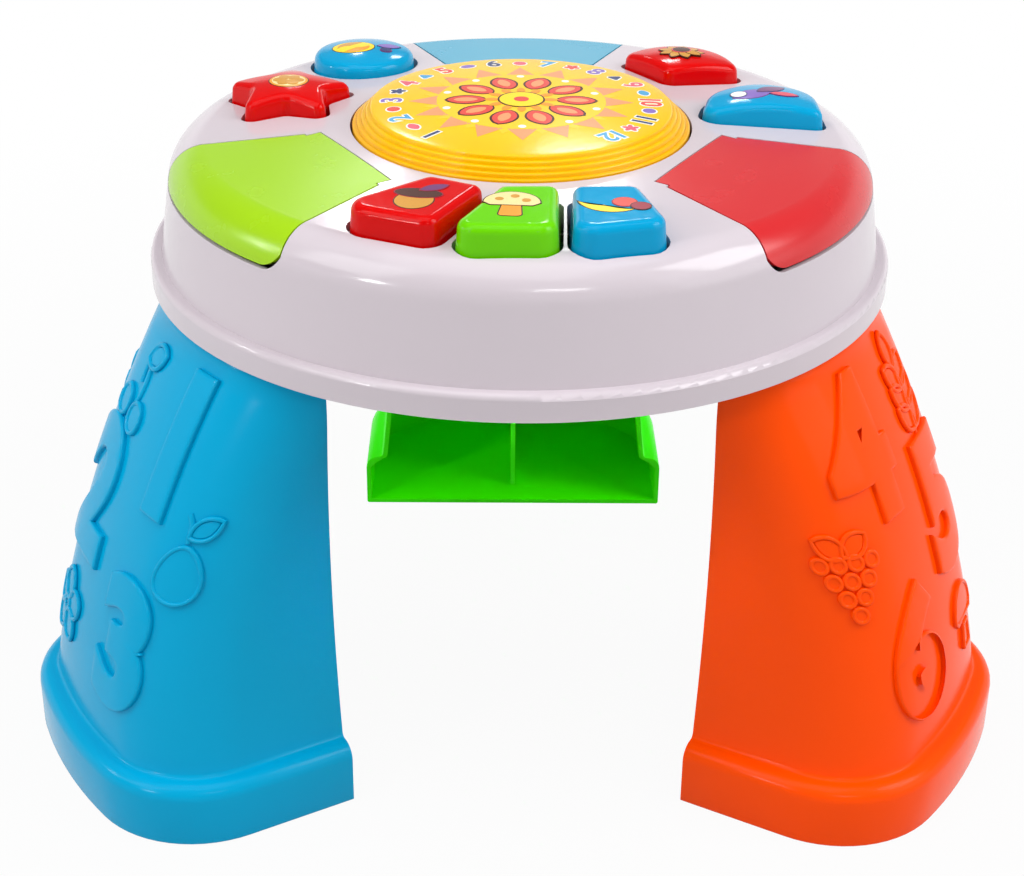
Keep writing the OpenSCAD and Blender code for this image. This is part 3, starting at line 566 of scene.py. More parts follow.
def outline_curve(outlines, height=0.0, edge=0.0, closed=True):
    """A curve through plane outlines; with an edge radius it becomes a rounded relief."""
    curve = bpy.data.curves.new("outline", "CURVE")
    curve.dimensions = "2D" if closed else "3D"
    if closed:
        curve.fill_mode = "BOTH"
    curve.extrude = height
    curve.bevel_depth = edge
    curve.bevel_resolution = BEVEL_STEPS
    curve.offset = -edge
    for outline in outlines:
        spline = curve.splines.new("POLY")
        spline.points.add(len(outline) - 1)
        for point, place in zip(spline.points, outline):
            point.co = (place[0], place[1], 0, 1)
        spline.use_cyclic_u = closed
    return curve


def figure_curve(text, size, height=0.0, edge=0.0, fatten=0.0):
    """Figures centred on the origin, as a curve object's data."""
    curve = bpy.data.curves.new("figure", "FONT")
    curve.body = text
    curve.size = size
    curve.align_x = "CENTER"
    curve.align_y = "CENTER"
    curve.extrude = height
    curve.bevel_depth = edge
    curve.bevel_resolution = BEVEL_STEPS
    curve.offset = fatten
    return curve


def gridded(mesh, spacing):
    """Cuts a flat-lying mesh along a square grid, so that it can follow a curved surface."""
    cut = bmesh.new()
    cut.from_mesh(mesh)
    bmesh.ops.remove_doubles(cut, verts=cut.verts, dist=FLAT_WELD)
    for axis in (0, 1):
        spread = [v.co[axis] for v in cut.verts]
        place = ceil(min(spread) / spacing) * spacing
        while place < max(spread):
            normal = Vector((axis == 0, axis == 1, 0))
            bmesh.ops.bisect_plane(cut, geom=cut.verts[:] + cut.edges[:] + cut.faces[:],
                                   dist=FLAT_WELD, plane_co=normal * place, plane_no=normal)
            place += spacing
    cut.to_mesh(mesh)
    cut.free()
    return mesh


def laid(mesh, surface):
    """Moves each vertex of a flat mesh in millimetres to its place on a surface, in metres."""
    for vertex in mesh.vertices:
        vertex.co = surface(*vertex.co) * MM
    return mesh


def joined(meshes):
    """One mesh from several; each keeps its own material as a slot of the result."""
    whole = bmesh.new()
    finishes = []
    for mesh in meshes:
        finish = mesh.materials[0] if mesh.materials else None
        if finish not in finishes:
            finishes.append(finish)
        start = len(whole.faces)
        whole.from_mesh(mesh)
        whole.faces.ensure_lookup_table()
        for face in whole.faces[start:]:
            face.material_index = finishes.index(finish)
    result = bpy.data.meshes.new("joined")
    whole.to_mesh(result)
    whole.free()
    return result, finishes


# ---- legs ----

def leg_reach(z):
    s = (z - FOOT_H) / (LEG_CROWN_Z - FOOT_H)
    return LEG_BASE_R - (LEG_BASE_R - LEG_CROWN_R) * ((1 - LEG_BOW) * s + LEG_BOW * s * s)


def leg_width(z):
    flare = ((z - LEG_SIDE_Z) / (LEG_SIDE_Z - FOOT_H)) ** 2
    return LEG_HALF + (FOOT_HALF - FOOT_SHELF - LEG_HALF) * flare


def d_plan(inner, reach, half, corner):
    """D-shaped plan along +X: an open side, straight flanks, round corners and an outer arc."""
    mid = half - corner
    turn = asin(mid / (reach - corner))
    centre = sqrt((reach - corner) ** 2 - mid ** 2)
    start = pi / 2 if centre >= inner else acos((inner - centre) / corner)
    corner_angles = [turn + (start - turn) * k / 14 for k in range(15)]
    side = [(centre + corner * cos(a), mid + corner * sin(a)) for a in corner_angles]
    arc = [(reach * cos(turn * k / 5), reach * sin(turn * k / 5)) for k in range(-4, 5)]
    flank = [(inner, mid + corner * sin(start))]
    upper = side + flank
    lower = [(x, -y) for x, y in reversed(upper)]
    return [Vector(p) for p in lower + arc + upper]


def foot_ring(z, trim):
    return level(d_plan(LEG_IN, FOOT_R - trim, FOOT_HALF - trim, LEG_CORNER + FOOT_SHELF - trim), z)


def leg_ring(z, trim=0, inner=LEG_IN):
    return level(d_plan(inner, leg_reach(z) - trim, leg_width(z) - trim, LEG_CORNER - trim), z)


def leg_outside():
    """Rings of the leg's outer skin, from the sole to the shoulder under the lip."""
    body = LEG_CROWN_Z - FOOT_H
    turns = [radians(a) for a in range(0, 91, 15)]
    sole = [foot_ring(SOLE_ROUND * (1 - cos(a)), SOLE_ROUND * (1 - sin(a))) for a in turns]
    edge = [foot_ring(FOOT_H - FOOT_ROUND * (1 - sin(a)), FOOT_ROUND * (1 - cos(a))) for a in turns]
    root = [leg_ring(FOOT_H + rise, -ROOT_SWELL * (1 - rise / ROOT_HEIGHT) ** 2)
            for rise in (0.2, 0.8, 1.6, ROOT_HEIGHT)]
    flank = [leg_ring(FOOT_H + body * k / LEG_RINGS) for k in range(1, LEG_RINGS + 1)]
    crown = [level(d_plan(LEG_IN, LEG_CROWN_R - LEG_SHOULDER * (1 - cos(a)),
                          leg_width(LEG_CROWN_Z) - LEG_SHOULDER / 3 * (1 - cos(a)), LEG_CORNER),
                   LEG_CROWN_Z + LEG_SHOULDER * sin(a)) for a in turns[1:]]
    return sole + edge + root + flank + crown


def leg_inside():
    """Rings of the leg's hollow, which is open towards the table's axis."""
    body = LEG_CROWN_Z - FOOT_H
    inner = LEG_IN - 2
    hollow = [(LEG_WALL, LEG_WALL), (FOOT_H - FOOT_ROUND, LEG_WALL),
              (FOOT_H - LEG_WALL - 1, LEG_WALL + FOOT_ROUND / 2)]
    foot = [level(d_plan(inner, FOOT_R - t, FOOT_HALF - t, LEG_CORNER + FOOT_SHELF - t), z)
            for z, t in hollow]
    flank = [leg_ring(FOOT_H + 0.5 + (body - 0.5) * k / HOLLOW_RINGS, LEG_WALL, inner)
             for k in range(HOLLOW_RINGS)]
    roof = d_plan(inner, leg_reach(LEG_CROWN_Z) - LEG_WALL - 1, leg_width(LEG_CROWN_Z) - LEG_WALL,
                  LEG_CORNER - LEG_WALL)
    return foot + flank + [level(roof, LEG_TOP - LEG_WALL)]


def combined(mesh, other, operation):
    """The boolean of two closed meshes."""
    base, tool = added(mesh), added(other)
    modifier = base.modifiers.new("cut", "BOOLEAN")
    modifier.operation = operation
    modifier.solver = "EXACT"
    modifier.object = tool
    result = evaluated(base)
    bpy.data.objects.remove(tool)
    return result


def box_mesh(low, high):
    corners = [(x, y, z) for x in (low[0], high[0]) for y in (low[1], high[1])
               for z in (low[2], high[2])]
    faces = [(0, 1, 3, 2), (4, 6, 7, 5), (0, 4, 5, 1), (2, 3, 7, 6), (0, 2, 6, 4), (1, 5, 7, 3)]
    return outward(mesh_of("box", corners, faces))


def leg_mesh():
    """A hollow leg along +X with its middle rib and softened edges."""
    outside = outward(mesh_of("leg_outside", *loft(leg_outside())))
    inside = outward(mesh_of("leg_inside", *loft(leg_inside())))
    rib = box_mesh((RIB_IN, -RIB_T / 2, -1), (FOOT_R, RIB_T / 2, LEG_TOP))
    shell = combined(outside, combined(inside, rib, "DIFFERENCE"), "DIFFERENCE")
    softened = added(shell)
    edge = softened.modifiers.new("edge", "BEVEL")
    edge.width = LEG_EDGE * MM
    edge.segments = 2
    edge.limit_method = "ANGLE"
    edge.angle_limit = radians(50)
    edge.use_clamp_overlap = True
    return evaluated(softened)


def skin_plan(along, reach, half, corner):
    """Point and outward normal at a distance along a leg's plan from its outermost line."""
    side = -1 if along < 0 else 1
    left = abs(along)
    mid = half - corner
    turn = asin(mid / (reach - corner))
    centre = sqrt((reach - corner) ** 2 - mid ** 2)
    bend = corner * (pi / 2 - turn)
    if left <= reach * turn:
        angle = left / reach
        point = Vector((reach * cos(angle), side * reach * sin(angle)))
        return point, Vector((cos(angle), side * sin(angle)))
    left -= reach * turn
    if left <= bend:
        angle = turn + left / corner
        point = Vector((centre + corner * cos(angle), side * (mid + corner * sin(angle))))
        return point, Vector((cos(angle), side * sin(angle)))
    return Vector((centre - (left - bend), side * half)), Vector((0, side))


def leg_surface(azimuth, along, height):
    """Lays a plane relief on a leg, with its origin at a distance along the plan and a height."""
    spin = Matrix.Rotation(radians(azimuth), 3, "Z")

    def surface(x, y, lift):
        z = height + y
        point, normal = skin_plan(along + x, leg_reach(z), leg_width(z), LEG_CORNER)
        above, _ = skin_plan(along + x, leg_reach(z + 1), leg_width(z + 1), LEG_CORNER)
        slope = (above - point).dot(normal)
        outwards = Vector((normal.x, normal.y, -slope)).normalized()
        return spin @ (Vector((point.x, point.y, z)) + outwards * lift)

    return surface


RELIEF = 2.8
RELIEF_EDGE = 1.3
RELIEF_GRID = 6
LOW_RELIEF = 1.4
RIM = 1.3
RIM_BURY = 0.4
LINE = 1.6
FIGURE_SIZE = 90
FIGURE_WEIGHT = 3.8


def relief(curve, surface):
    """A raised, round-edged shape on a surface."""
    mesh = gridded(evaluated(added(curve)), RELIEF_GRID)
    return laid(mesh, surface)


def line_relief(lines, radius, surface, finish, raised=0.0):
    """Raised lines on a surface."""
    curve = outline_curve(lines, closed=False)
    mesh = grown(curve, BEAD_TREE, {"Radius": radius, "Finish": finish})
    return laid(mesh, lambda x, y, z: surface(x, y, z + raised))


def arc_line(centre, radius, start, turn, count=20):
    return [Vector(centre) + polar(radius, start + turn * k / count) for k in range(count + 1)]


def cherries():
    """Solid shapes and raised lines of a pair of cherries."""
    solids = [circle((-9, -10), 8.5), circle((10, -13), 8.5), leaf((1, 15), 17, 9, 20)]
    lines = [arc_line((22, 8), 22, 140, 55), arc_line((-15, 3), 22, -32, 62)]
    return solids, lines


def pear():
    body = [Vector((p.x * (1 - 0.016 * (p.y + 6)), p.y * 1.15)) for p in circle((0, -6), 14, 40)]
    return [body, leaf((1, 14), 15, 8, 35)], [[Vector((0, 10)), Vector((-1, 20)), Vector((-4, 24))]]


def sprig():
    leaves = [leaf((0, 10 * k - 16), 17, 9, 90 + side * 48)
              for k in range(3) for side in (-1, 1)]
    return leaves + [leaf((0, 14), 15, 9, 90)], [[Vector((0, -24)), Vector((0, 16))]]


def blossom():
    petals = [leaf(polar(4, 72 * k + 18), 15, 12, 72 * k + 18, 0.6) for k in range(5)]
    return petals + [circle((0, 0), 5.5)], []


def berry_bunch():
    rows = [(4, 10), (3, 1), (2, -8), (1, -17)]
    balls = [circle(((k - (count - 1) / 2) * 9.4, y), 5) for count, y in rows for k in range(count)]
    return balls + [leaf((0, 15), 15, 9, 150), leaf((0, 15), 15, 9, 30)], []


def toadstool():
    cap = arc_line((0, 0), 17, 0, 180) + [Vector((-13, -4)), Vector((13, -4))]
    return [cap, rounded([(-5, -5, 1), (-7, -21, 3), (7, -21, 3), (5, -5, 1)])], []


LEG_FIGURES = {
    "blue": [("1", 33, 196), ("2", -30, 150), ("3", 36, 92)],
    "orange": [("4", -36, 196), ("5", 27, 146), ("6", -33, 88)],
    "green": [("7", 33, 196), ("8", -30, 150), ("9", 34, 92)],
}
LEG_SHAPES = {
    "blue": [(cherries, -26, 208), (pear, 62, 150), (blossom, -36, 84), (sprig, -84, 190),
             (berry_bunch, -88, 96)],
    "orange": [(sprig, 27, 206), (berry_bunch, -68, 142), (toadstool, 30, 84), (pear, 84, 190),
               (cherries, 88, 96)],
    "green": [(blossom, -26, 206), (toadstool, 66, 146), (berry_bunch, -36, 80),
              (cherries, -84, 190), (sprig, -88, 100)],
}


def leg_reliefs(colour, finish):
    """All raised figures and fruits of one leg."""
    azimuth = LEG_AZIMUTH[colour]
    meshes = []
    for text, along, height in LEG_FIGURES[colour]:
        curve = figure_curve(text, FIGURE_SIZE, RELIEF - RELIEF_EDGE, RELIEF_EDGE, FIGURE_WEIGHT)
        meshes.append(relief(curve, leg_surface(azimuth, along, height)))
    for shape, along, height in LEG_SHAPES[colour]:
        surface = leg_surface(azimuth, along, height)
        solids, lines = shape()
        meshes += [relief(outline_curve([outline], LOW_RELIEF / 2, LOW_RELIEF / 2), surface)
                   for outline in solids]
        rims = [inset(outline, RIM) + [inset(outline, RIM)[0]] for outline in solids]
        meshes.append(line_relief(rims, RIM, surface, finish, LOW_RELIEF - RIM_BURY))
        if lines:
            meshes.append(line_relief(lines, LINE, surface, finish))
    for mesh in meshes:
        mesh.materials.clear()
        mesh.materials.append(finish)
    whole, _ = joined(meshes)
    return whole


def make_legs():
    shell = leg_mesh()
    for colour, azimuth in LEG_AZIMUTH.items():
        slot = colour + "_plastic"
        finish = FINISHES[slot]
        settle(rotated(shell, azimuth), f"leg_{colour}_shell", [finish], "housing",
               [f"leg_{colour}"], crease=40)
        settle(leg_reliefs(colour, finish), f"leg_{colour}_reliefs", [finish], "housing",
               crease=50)


# ---- sun disc ----

def sun_height(radius):
    """Height of the sun's crown at a distance from its axis."""
    return SUN_TOP_Z + SUN_CROWN - SUN_CROWN_R + sqrt(SUN_CROWN_R ** 2 - radius ** 2)


def quarter(centre, radius, count=5):
    """Points of a convex quarter round in a section, from its side to its top."""
    turns = [pi / 2 * k / count for k in range(count + 1)]
    return [(centre[0] + radius * cos(a), centre[1] + radius * sin(a)) for a in turns]


def sun_section(wall=0.0):
    """Section points (radius, height) of the sun's skin, from its rim to its axis."""
    edge = SUN_EDGE if wall == 0 else SUN_INNER_EDGE
    section = [(SUN_R - wall, FLANGE_Z)]
    for k in range(SUN_STEPS + 1):
        radius = SUN_R - wall - k * SUN_STEP_W
        top = SUN_LOW_Z - wall + k * SUN_STEP_H
        section += quarter((radius - edge, top - edge), edge)
        if k < SUN_STEPS:
            section.append((radius - SUN_STEP_W + SUN_STEP_LEAN, top))
    rings = 18
    edge_r = SUN_TOP_R - wall - edge
    section += [(edge_r * (1 - k / rings), sun_height(edge_r * (1 - k / rings)) - wall)
                for k in range(1, rings)]
    return section


def turned(section, count=192):
    """Rings of points round the vertical axis through a section's points."""
    return [[Vector((*polar(radius, 360 * k / count), z)) for k in range(count)]
            for radius, z in section]


def on_sun(azimuth=0.0, reach=0.0, turn=0.0):
    """Lays plane prints on the sun's crown, turned and moved out from its axis."""
    spin = Matrix.Rotation(radians(azimuth), 2)
    own = Matrix.Rotation(radians(turn), 2)

    def surface(x, y, lift):
        place = spin @ (own @ Vector((x, y)) + Vector((reach, 0)))
        return Vector((place.x, place.y, sun_height(place.length) + lift))

    return surface


LAYER = 0.07
INK_BURY = 0.25
SUN_GRID = 8
BUTTON_GRID = 5
CHARM_LIFT = 0.12


def sheet_of(outline, ink, top, spacing):
    """A thin closed print of a plane outline, cut along a grid, in millimetres."""
    print_ = bmesh.new()
    face = print_.faces.new([print_.verts.new((p[0], p[1], top)) for p in outline])
    bmesh.ops.triangulate(print_, faces=[face])
    mesh = bpy.data.meshes.new("print")
    print_.to_mesh(mesh)
    print_.free()
    gridded(mesh, spacing)
    thick = bmesh.new()
    thick.from_mesh(mesh)
    under = bmesh.ops.extrude_face_region(thick, geom=thick.faces[:])
    for vertex in (v for v in under["geom"] if isinstance(v, bmesh.types.BMVert)):
        vertex.co.z = -INK_BURY
    bmesh.ops.recalc_face_normals(thick, faces=thick.faces)
    thick.to_mesh(mesh)
    thick.free()
    mesh.materials.append(ink)
    return mesh


def sun_prints():
    """Rays, petals and painted highlight dots round the sun's middle, each row a repeated shape, in
    rising layers.
    """
    rows = [
        # outline, ink, count, first turn, layer
        ([(43, -8.5), (60, 0), (43, 8.5)], "peach", 16, 0.0, 1),
        ([(41, -6), (53, 0), (41, 6)], "honey", 16, pi / 16, 1),
        (leaf((18, 0), 23, 15, 0, 0.6), "cocoa", 10, 0.0, 3),
        (leaf((19, 0), 20.5, 12.6, 0, 0.6), "coral", 10, 0.0, 4),
        (leaf((23, 0), 13, 6.4, 0, 0.6), "peach", 10, 0.0, 5),
        # painted highlights: white ink dots between the petals that stand in for glints on the lens
        (circle((41.5, 0), 2.1, 20), "white", 10, pi / 10, 3),
        (leaf((11, 0), 9, 4.6, 0, 0.7), "amber", 12, 0.0, 4),
    ]
    for number, (outline, ink, count, first, layer) in enumerate(rows):
        shape = sheet_of([Vector(p) for p in outline], INKS[ink], layer * LAYER, SUN_GRID)
        mesh = grown(shape, RING_TREE, {"Count": count, "First turn": first, "Finish": INKS[ink]})
        settle(laid(mesh, on_sun()), f"sun_print_{number}_{ink}", [INKS[ink]], "sun_disc")
    discs = [(45, "honey", 2), (12.6, "cocoa", 5), (11.6, "lemon", 6), (4, "coral", 7)]
    for radius, ink, layer in discs:
        disc = sheet_of(circle((0, 0), radius, 96), INKS[ink], layer * LAYER, SUN_GRID)
        settle(laid(disc, on_sun()), f"sun_disc_{ink}_{round(radius)}", [INKS[ink]], "sun_disc")


NUMBER_INKS = ["navy", "rose", "sky", "coral", "violet"]
NUMBER_SIZE = 15.5
NUMBER_REACH = 68.5
NUMBER_FIRST = 228
NUMBER_LAST = -48


def charm(k):
    """A small shape that stands between two numbers."""
    shapes = [leaf((-4, 0), 8, 5, 0, 0.6), circle((0, 0), 3.2, 20), scalloped((0, 0), 4.2, 2.4, 5),
              rounded([(-3.6, -3, 0.8), (3.6, -3, 0.8), (0, 3.8, 0.8)])]
    return outline_curve([shapes[k % len(shapes)]], CHARM_LIFT)


def sun_numbers():
    """Numbers from 1 to 12 round the sun, clockwise, with a small shape between each two."""
    places = 23
    borders, figures = [], {ink: [] for ink in NUMBER_INKS}
    for k in range(places):
        azimuth = NUMBER_FIRST + (NUMBER_LAST - NUMBER_FIRST) * k / (places - 1)
        surface = on_sun(azimuth, NUMBER_REACH, -90)
        own = figures[NUMBER_INKS[k % len(NUMBER_INKS)]]
        for weight, lift, group in ((1.15, 2 * LAYER, borders), (0.3, 4 * LAYER, own)):
            if k % 2:
                curve = charm(k // 2)
                curve.offset = weight
            else:
                curve = figure_curve(str(k // 2 + 1), NUMBER_SIZE, CHARM_LIFT, fatten=weight)
                curve.space_character = 0.86
            mesh = gridded(evaluated(added(curve)), SUN_GRID)
            group.append(laid(mesh, lambda x, y, z: surface(x, y, lift if z > 0 else -INK_BURY)))
    whole, _ = joined(borders)
    settle(whole, "sun_number_borders", [INKS["white"]], "sun_disc")
    for ink, meshes in figures.items():
        whole, _ = joined(meshes)
        settle(whole, f"sun_numbers_{ink}", [INKS[ink]], "sun_disc")


def make_sun():
    outer, inner = sun_section(), sun_section(CAP_WALL)
    rings = turned(list(reversed(inner)) + outer)
    mesh = mesh_of("sun", *loft(rings))
    settle(mesh, "sun_lens_shell", [FINISHES["sun_plastic"]], "sun_disc",
           ["sun_lens"], crease=50)
    sun_prints()
    sun_numbers()


# ---- buttons ----

def deck_height(radius):
    inward = min(max(radius, SUN_OPEN_R), CREASE_R) - SUN_OPEN_R
    return DECK_Z - tan(radians(DECK_FALL)) * inward


class Button:
    """A hollow cap: its outline, its middle, the rise of its top and the bow of that top."""

    def __init__(self, name, slot, outline, mid, rise, crown=CAP_CROWN, edge=CAP_EDGE):
        self.name = name
        self.slot = slot
        self.outline = spaced(outline, 3)
        self.mid = Vector(mid)
        self.rise = rise
        self.bow = 1 / crown if crown else 0
        self.edge = edge

    def roof(self, point, lift=0.0):
        """Height of the top above a point of the plan."""
        away = (point - self.mid).length
        return deck_height(self.mid.length) + self.rise - self.bow / 2 * away * away + lift

    def roof_ring(self, outline, drop):
        return [Vector((p.x, p.y, self.roof(p, -drop))) for p in outline]

    def skin(self, wall=0.0):
        """Rings of the cap's skin, from its lower rim to its crown."""
        side = inset(self.outline, CAP_DRAFT + wall)
        edge = max(self.edge - wall, 0.4)
        top = inset(side, edge)
        turns = [radians(a) for a in range(0, 90, 15)]
        rings = [level(inset(self.outline, wall), CAP_RIM_Z)]
        rings += [self.roof_ring(inset(side, edge * (1 - cos(a))), edge * (1 - sin(a)) + wall)
                  for a in turns]
        shares = [1, 0.92, 0.8, 0.66, 0.5, 0.34, 0.18, 0.08]
        return rings + [self.roof_ring([self.mid + (p - self.mid) * share for p in top], wall)
                        for share in shares]

    def make(self):
        rings = list(reversed(self.skin(CAP_WALL))) + self.skin()
        mesh = mesh_of(self.name, *loft(rings))
        settle(mesh, self.name + "_cap", [FINISHES[self.slot]], self.name,
               [self.name], crease=60)

    def surface(self, at, turn=0.0, scale=1.0):
        """Lays plane prints on the cap's top."""
        spin = Matrix.Rotation(radians(turn), 2) * scale

        def place(x, y, lift):
            point = self.mid + Vector(at) + spin @ Vector((x, y))
            return Vector((point.x, point.y, self.roof(point, lift)))

        return place

    def stick(self, motif, at=(0, 0), turn=0.0, scale=1.0):
        """Prints a motif, a list of (outline, ink) from the lowest up, on the cap's top."""
        surface = self.surface(at, turn, scale)
        meshes = [laid(sheet_of(outline, INKS[ink], PRINT_LIFT + LAYER * layer, BUTTON_GRID),
                       surface) for layer, (outline, ink) in enumerate(motif)]
        whole, finishes = joined(meshes)
        settle(whole, self.name + "_print", finishes, self.name)


def bordered(outline, ink, border="cocoa", width=0.55):
    """A print with a thin dark border."""
    anticlockwise = sum(a.cross(b) for a, b in zip(outline, outline[1:] + outline[:1])) > 0
    return [(inset(outline, -width if anticlockwise else width), border), (outline, ink)]


def lemon_slice():
    wedges = [leaf(polar(1.2, 60 * k), 7.4, 6.4, 60 * k, 0.5) for k in range(6)]
    return (bordered(circle((0, 0), 10.5), "amber") + [(circle((0, 0), 9.2), "cream")]
            + [(wedge, "ochre") for wedge in wedges])


def beach_ball():
    parts = bordered(ellipse((-5, 0), 12, 10), "lemon")
    parts += [(crescent((-5, 0), 9.3, 6.5, 60, 130), "ochre"),
              (crescent((-5, 0), 9.3, 6.5, 240, 130), "amber")]
    parts += bordered(leaf((9, 2), 13, 7.5, 12), "violet", "navy")
    return parts + bordered(circle((14, -4.5), 3, 20), "navy", "plum")


def sunflower():
    parts = [part for k in range(9)
             for part in bordered(leaf(polar(2, 40 * k), 11, 6, 40 * k), "ochre")]
    return parts + bordered(circle((0, 0), 5), "cocoa", "rose")


def wave_and_drops():
    """Waves of violet and plum, a white drop and a rose one."""
    parts = bordered(leaf((-17, -3), 24, 13, 14), "violet", "plum")
    parts += bordered(leaf((-2, 2), 20, 9, 28), "plum", "navy")
    parts += bordered(circle((-13, 1), 4.2, 20), "white", "navy")
    return parts + bordered(leaf((4, -2), 15, 6, -8), "rose", "plum")


def acorn():
    parts = bordered(ellipse((0, -5), 8, 9.5), "ochre")
    parts += bordered(ellipse((0, 3), 10, 5), "cocoa", "wine")
    return parts + bordered(leaf((0, 6), 13, 6, 40), "plum", "wine")


def mushroom():
    cap = arc_line((0, 0), 12, 0, 180) + [Vector((-9, -3)), Vector((9, -3))]
    parts = bordered(rounded([(-4, -3, 1), (-5, -15, 2), (5, -15, 2), (4, -3, 1)]), "amber")
    parts += bordered(cap, "cream")
    return parts + [(circle(spot, 1.9, 16), "ochre") for spot in ((-5.5, 3.5), (1, 7), (6, 2.5))]


def banana_and_cherry():
    parts = bordered(crescent((0, 7), 15, 6.5, 190, 120), "lemon")
    parts += bordered(circle((6, 4), 5.4, 24), "coral", "wine")
    return parts + bordered(circle((13, -1), 4.4, 24), "wine", "cocoa")


def star_outline(centre, tip, waist, tip_radius, waist_radius):
    corners = []
    for k in range(10):
        place = Vector(centre) + polar(tip if k % 2 == 0 else waist, 90 + 36 * k)
        corners.append((*place, tip_radius if k % 2 == 0 else waist_radius))
    return rounded(corners)


def fan_outline(apex, reach, start, end, radius):
    """A sector of a circle with all its corners rounded."""
    return (arc_line(apex, radius, end + 90, start + 180 - end, 12)
            + arc_line(apex + polar(reach, start), radius, start - 90, 90, 10)
            + arc_line(apex, reach + radius, start + 6, end - start - 12)
            + arc_line(apex + polar(reach, end), radius, end, 90, 10))


def make_buttons():
    fan_apex, fan_reach, fan_azimuth, fan_angle = Vector((86.5, 77.5)), 33, 70, 106
    fan_mid = fan_apex + polar(fan_reach / 2, fan_azimuth)
    fan = fan_outline(fan_apex, fan_reach, fan_azimuth - fan_angle / 2,
                      fan_azimuth + fan_angle / 2, 8)
    keys = {
        "red_key": ("red_button_plastic", (-53, -134),
                    [(-46, -99.5, 8), (-94, -142.5, 13), (-42, -165.5, 9), (-16.5, -115, 7)]),
        "green_key": ("lime_button_plastic", (-5, -144),
                      [(-12.5, -113.5, 7), (-39, -172, 11), (16.5, -172, 11), (18.5, -112.5, 7)]),
        "blue_key": ("blue_button_plastic", (43, -142),
                     [(22.2, -112.5, 7), (20.5, -175, 11), (69.5, -161.5, 11), (56.6, -111, 8)]),
    }
    buttons = {name: Button(name, slot, rounded(corners), mid, 12, None, 4.6)
               for name, (slot, mid, corners) in keys.items()}
    buttons["round_button"] = Button("round_button", "blue_button_plastic",
                                     circle((-90, 109), 30, 90), (-90, 109), 11)
    buttons["star_button"] = Button("star_button", "red_button_plastic",
                                    star_outline((-127, 38), 41, 22, 5.6, 7), (-127, 38), 13)
    buttons["fan_button"] = Button("fan_button", "red_button_plastic", fan, fan_mid, 12.5)
    moon = rounded([(94.5, 3, 10), (164, 3, 6), (163, 41, 24), (132, 53, 20), (101.5, 34, 20)])
    buttons["moon_button"] = Button("moon_button", "blue_button_plastic", moon, (131, 22), 12.5)
    for button in buttons.values():
        button.make()
    buttons["red_key"].stick(acorn(), (2, 2), -12, 1.15)
    buttons["green_key"].stick(mushroom(), (-1, 4), -4, 1.12)
    buttons["blue_key"].stick(banana_and_cherry(), (-2, 0), 0, 1.05)
    buttons["round_button"].stick(beach_ball(), (-1, 0), 0)
    buttons["star_button"].stick(lemon_slice())
    buttons["fan_button"].stick(sunflower(), (1, 4))
    buttons["moon_button"].stick(wave_and_drops(), (0, 1), 10)


# ---- housing, pads and everything that keeps its packed form ----

def dress_nodes():
    """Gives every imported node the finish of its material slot."""
    for part in frame["record"]["subparts"]:
        mesh = frame["nodes"][part["node"]].data
        mesh.materials.clear()
        mesh.materials.append(FINISHES[part["material_slot"]])


# ---- stage, light and camera ----

HORIZON = 0.20
CEILING = 0.32
CEILING_GREY = 0.25
LOW_LIGHT = 0.22
HIGH_LIGHT = 0.55
FLOOR_HALF = 6000


def floor_finish():
    """White paper. Seen directly or in a reflection it fades to pure white away from the table."""
    finish = Finish("floor_white")
    paper = finish.node("BsdfDiffuse", {}, {"Color": finish.mixed(
        finish.noise(3, 2), srgb("#bcbcbc"), srgb("#c0c0c0"))})
    white = finish.node("Emission", {}, {"Color": (1, 1, 1, 1), "Strength": 1.0})
    far = finish.node("MapRange", {"interpolation_type": "SMOOTHSTEP"}, {
        "Value": finish.radius(), "From Min": 0.3, "From Max": 1.1, "To Min": 0.95, "To Max": 1.0})
    mix = {0: finish.seen() * far, 1: paper, 2: white}
    return finish.surface(finish.node("MixShader", {}, mix))


def make_floor():
    corners = [(FLOOR_HALF * x, FLOOR_HALF * y, 0) for x, y in ((-1, -1), (1, -1), (1, 1), (-1, 1))]
    mesh = mesh_of("floor", corners, [(0, 1, 2, 3)])
    mesh.materials.append(floor_finish())
    added(mesh, "floor")


def make_world():
    """A white room whose ceiling looks darker, and whose light grows from the horizon up."""
    world = bpy.data.worlds.new("studio")
    bpy.context.scene.world = world
    room = Finish("studio", world)
    up = room.node("SeparateXYZ", {}, {"Vector": room.node("TexCoord", output="Generated")}, "Z")
    shown = room.node("MapRange", {"interpolation_type": "SMOOTHSTEP"}, {
        "Value": up, "From Min": HORIZON, "From Max": CEILING,
        "To Min": 1.0, "To Max": CEILING_GREY})
    seen = room.seen()
    falls = room.node("MapRange", {"interpolation_type": "SMOOTHSTEP"}, {
        "Value": up, "From Min": 0.0, "From Max": 0.8, "To Min": LOW_LIGHT, "To Max": HIGH_LIGHT})
    strength = seen * shown + (1 - seen) * falls
    background = room.node("Background", {}, {"Color": (1, 1, 1, 1), "Strength": strength})
    room.node("OutputWorld", {}, {"Surface": background})


def softbox(name, place, target, size, power, spread=180):
    """A rectangular lamp that faces a target; place and target in metres."""
    lamp = bpy.data.lights.new(name, "AREA")
    lamp.shape = "RECTANGLE"
    lamp.size, lamp.size_y = size
    lamp.energy = power
    lamp.spread = radians(spread)
    obj = added(lamp, name)
    obj.location = place
    obj.rotation_euler = (Vector(target) - Vector(place)).to_track_quat("-Z", "Y").to_euler()


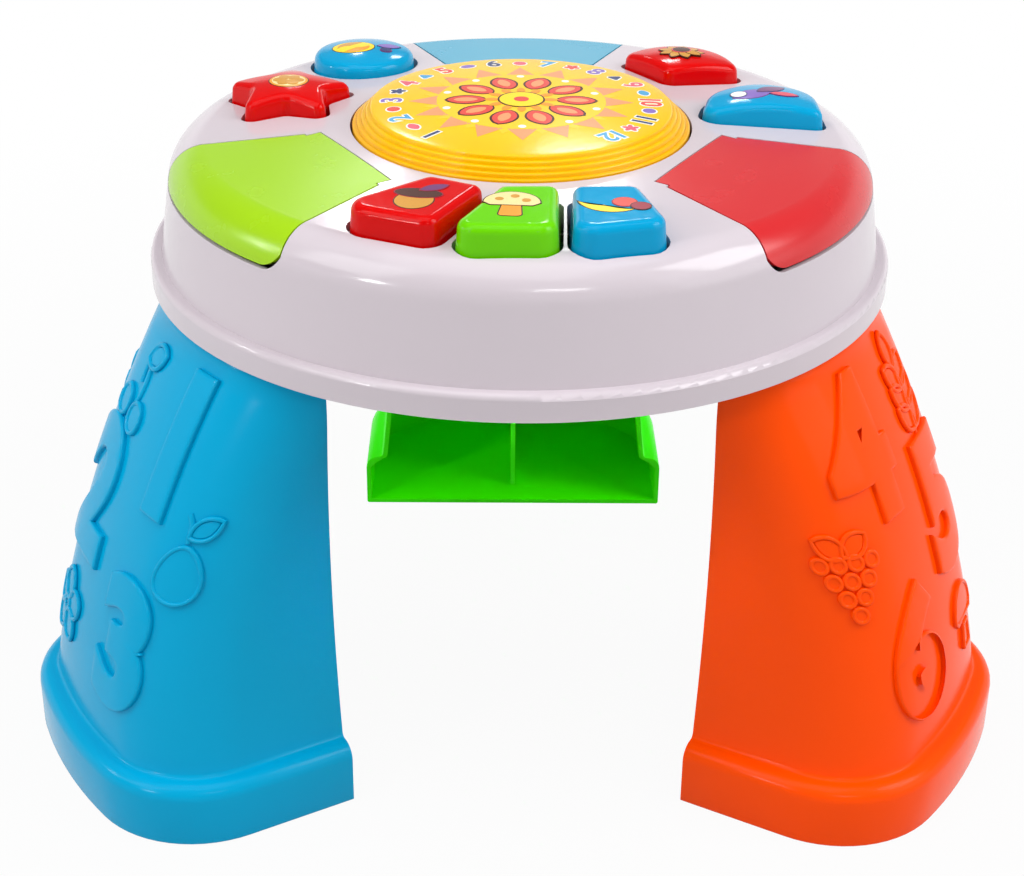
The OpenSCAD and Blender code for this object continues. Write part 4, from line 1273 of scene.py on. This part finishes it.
def make_lights():
    middle = (0, 0, 0.2)
    softbox("overhead", (-0.1, -0.3, 1.75), middle, (1.3, 1.3), 8)
    softbox("left", (-1.35, -0.75, 1.6), middle, (1.0, 1.0), 9)
    softbox("left_edge", (-1.6, -0.1, 0.9), middle, (0.22, 0.3), 4)
    softbox("right", (1.5, -0.35, 1.6), middle, (1.0, 1.0), 18)
    softbox("right_panel", (1.75, -0.7, 0.95), middle, (1.6, 1.4), 7.5)
    softbox("front_left", (-1.62, -1.6, 1.02), middle, (0.26, 0.2), 8)
    softbox("front_middle", (0.42, -1.97, 1.46), middle, (0.6, 0.14), 3.6)
    softbox("under", (0.0, -1.7, 0.13), (0, 0.2, 0.13), (0.1, 0.05), 0.05, 8)
    softbox("rear_left", (-0.28, 1.9, 1.34), middle, (0.10, 0.08), 0.7)
    softbox("rear_right", (0.16, 1.9, 1.36), middle, (0.16, 0.10), 1.0)


CAMERA_AT = Vector((-15.8, -1028.5, 677.7))
CAMERA_PITCH = 0.4867
CAMERA_YAW = 0.0125
CAMERA_ROLL = 0.0112
FOCAL_PIXELS = 2011.73
FRAME_WIDTH = 1024
SENSOR_WIDTH = 36


def make_camera():
    data = bpy.data.cameras.new("view")
    data.sensor_fit = "HORIZONTAL"
    data.sensor_width = SENSOR_WIDTH
    data.lens = FOCAL_PIXELS * SENSOR_WIDTH / FRAME_WIDTH
    camera = added(data, "view")
    forward = Vector((sin(CAMERA_YAW) * cos(CAMERA_PITCH), cos(CAMERA_YAW) * cos(CAMERA_PITCH),
                      -sin(CAMERA_PITCH)))
    level_right = Vector((cos(CAMERA_YAW), -sin(CAMERA_YAW), 0))
    level_up = level_right.cross(forward)
    right = level_right * cos(CAMERA_ROLL) + level_up * sin(CAMERA_ROLL)
    up = level_up * cos(CAMERA_ROLL) - level_right * sin(CAMERA_ROLL)
    turn = Matrix((right, up, -forward)).transposed().to_4x4()
    camera.matrix_world = Matrix.Translation(CAMERA_AT * MM) @ turn
    bpy.context.scene.camera = camera


dress_nodes()
make_legs()
make_sun()
make_buttons()
make_floor()
make_world()
make_lights()
make_camera()
bpy.context.scene.view_settings.view_transform = "Standard"

bpy.context.view_layer.update()
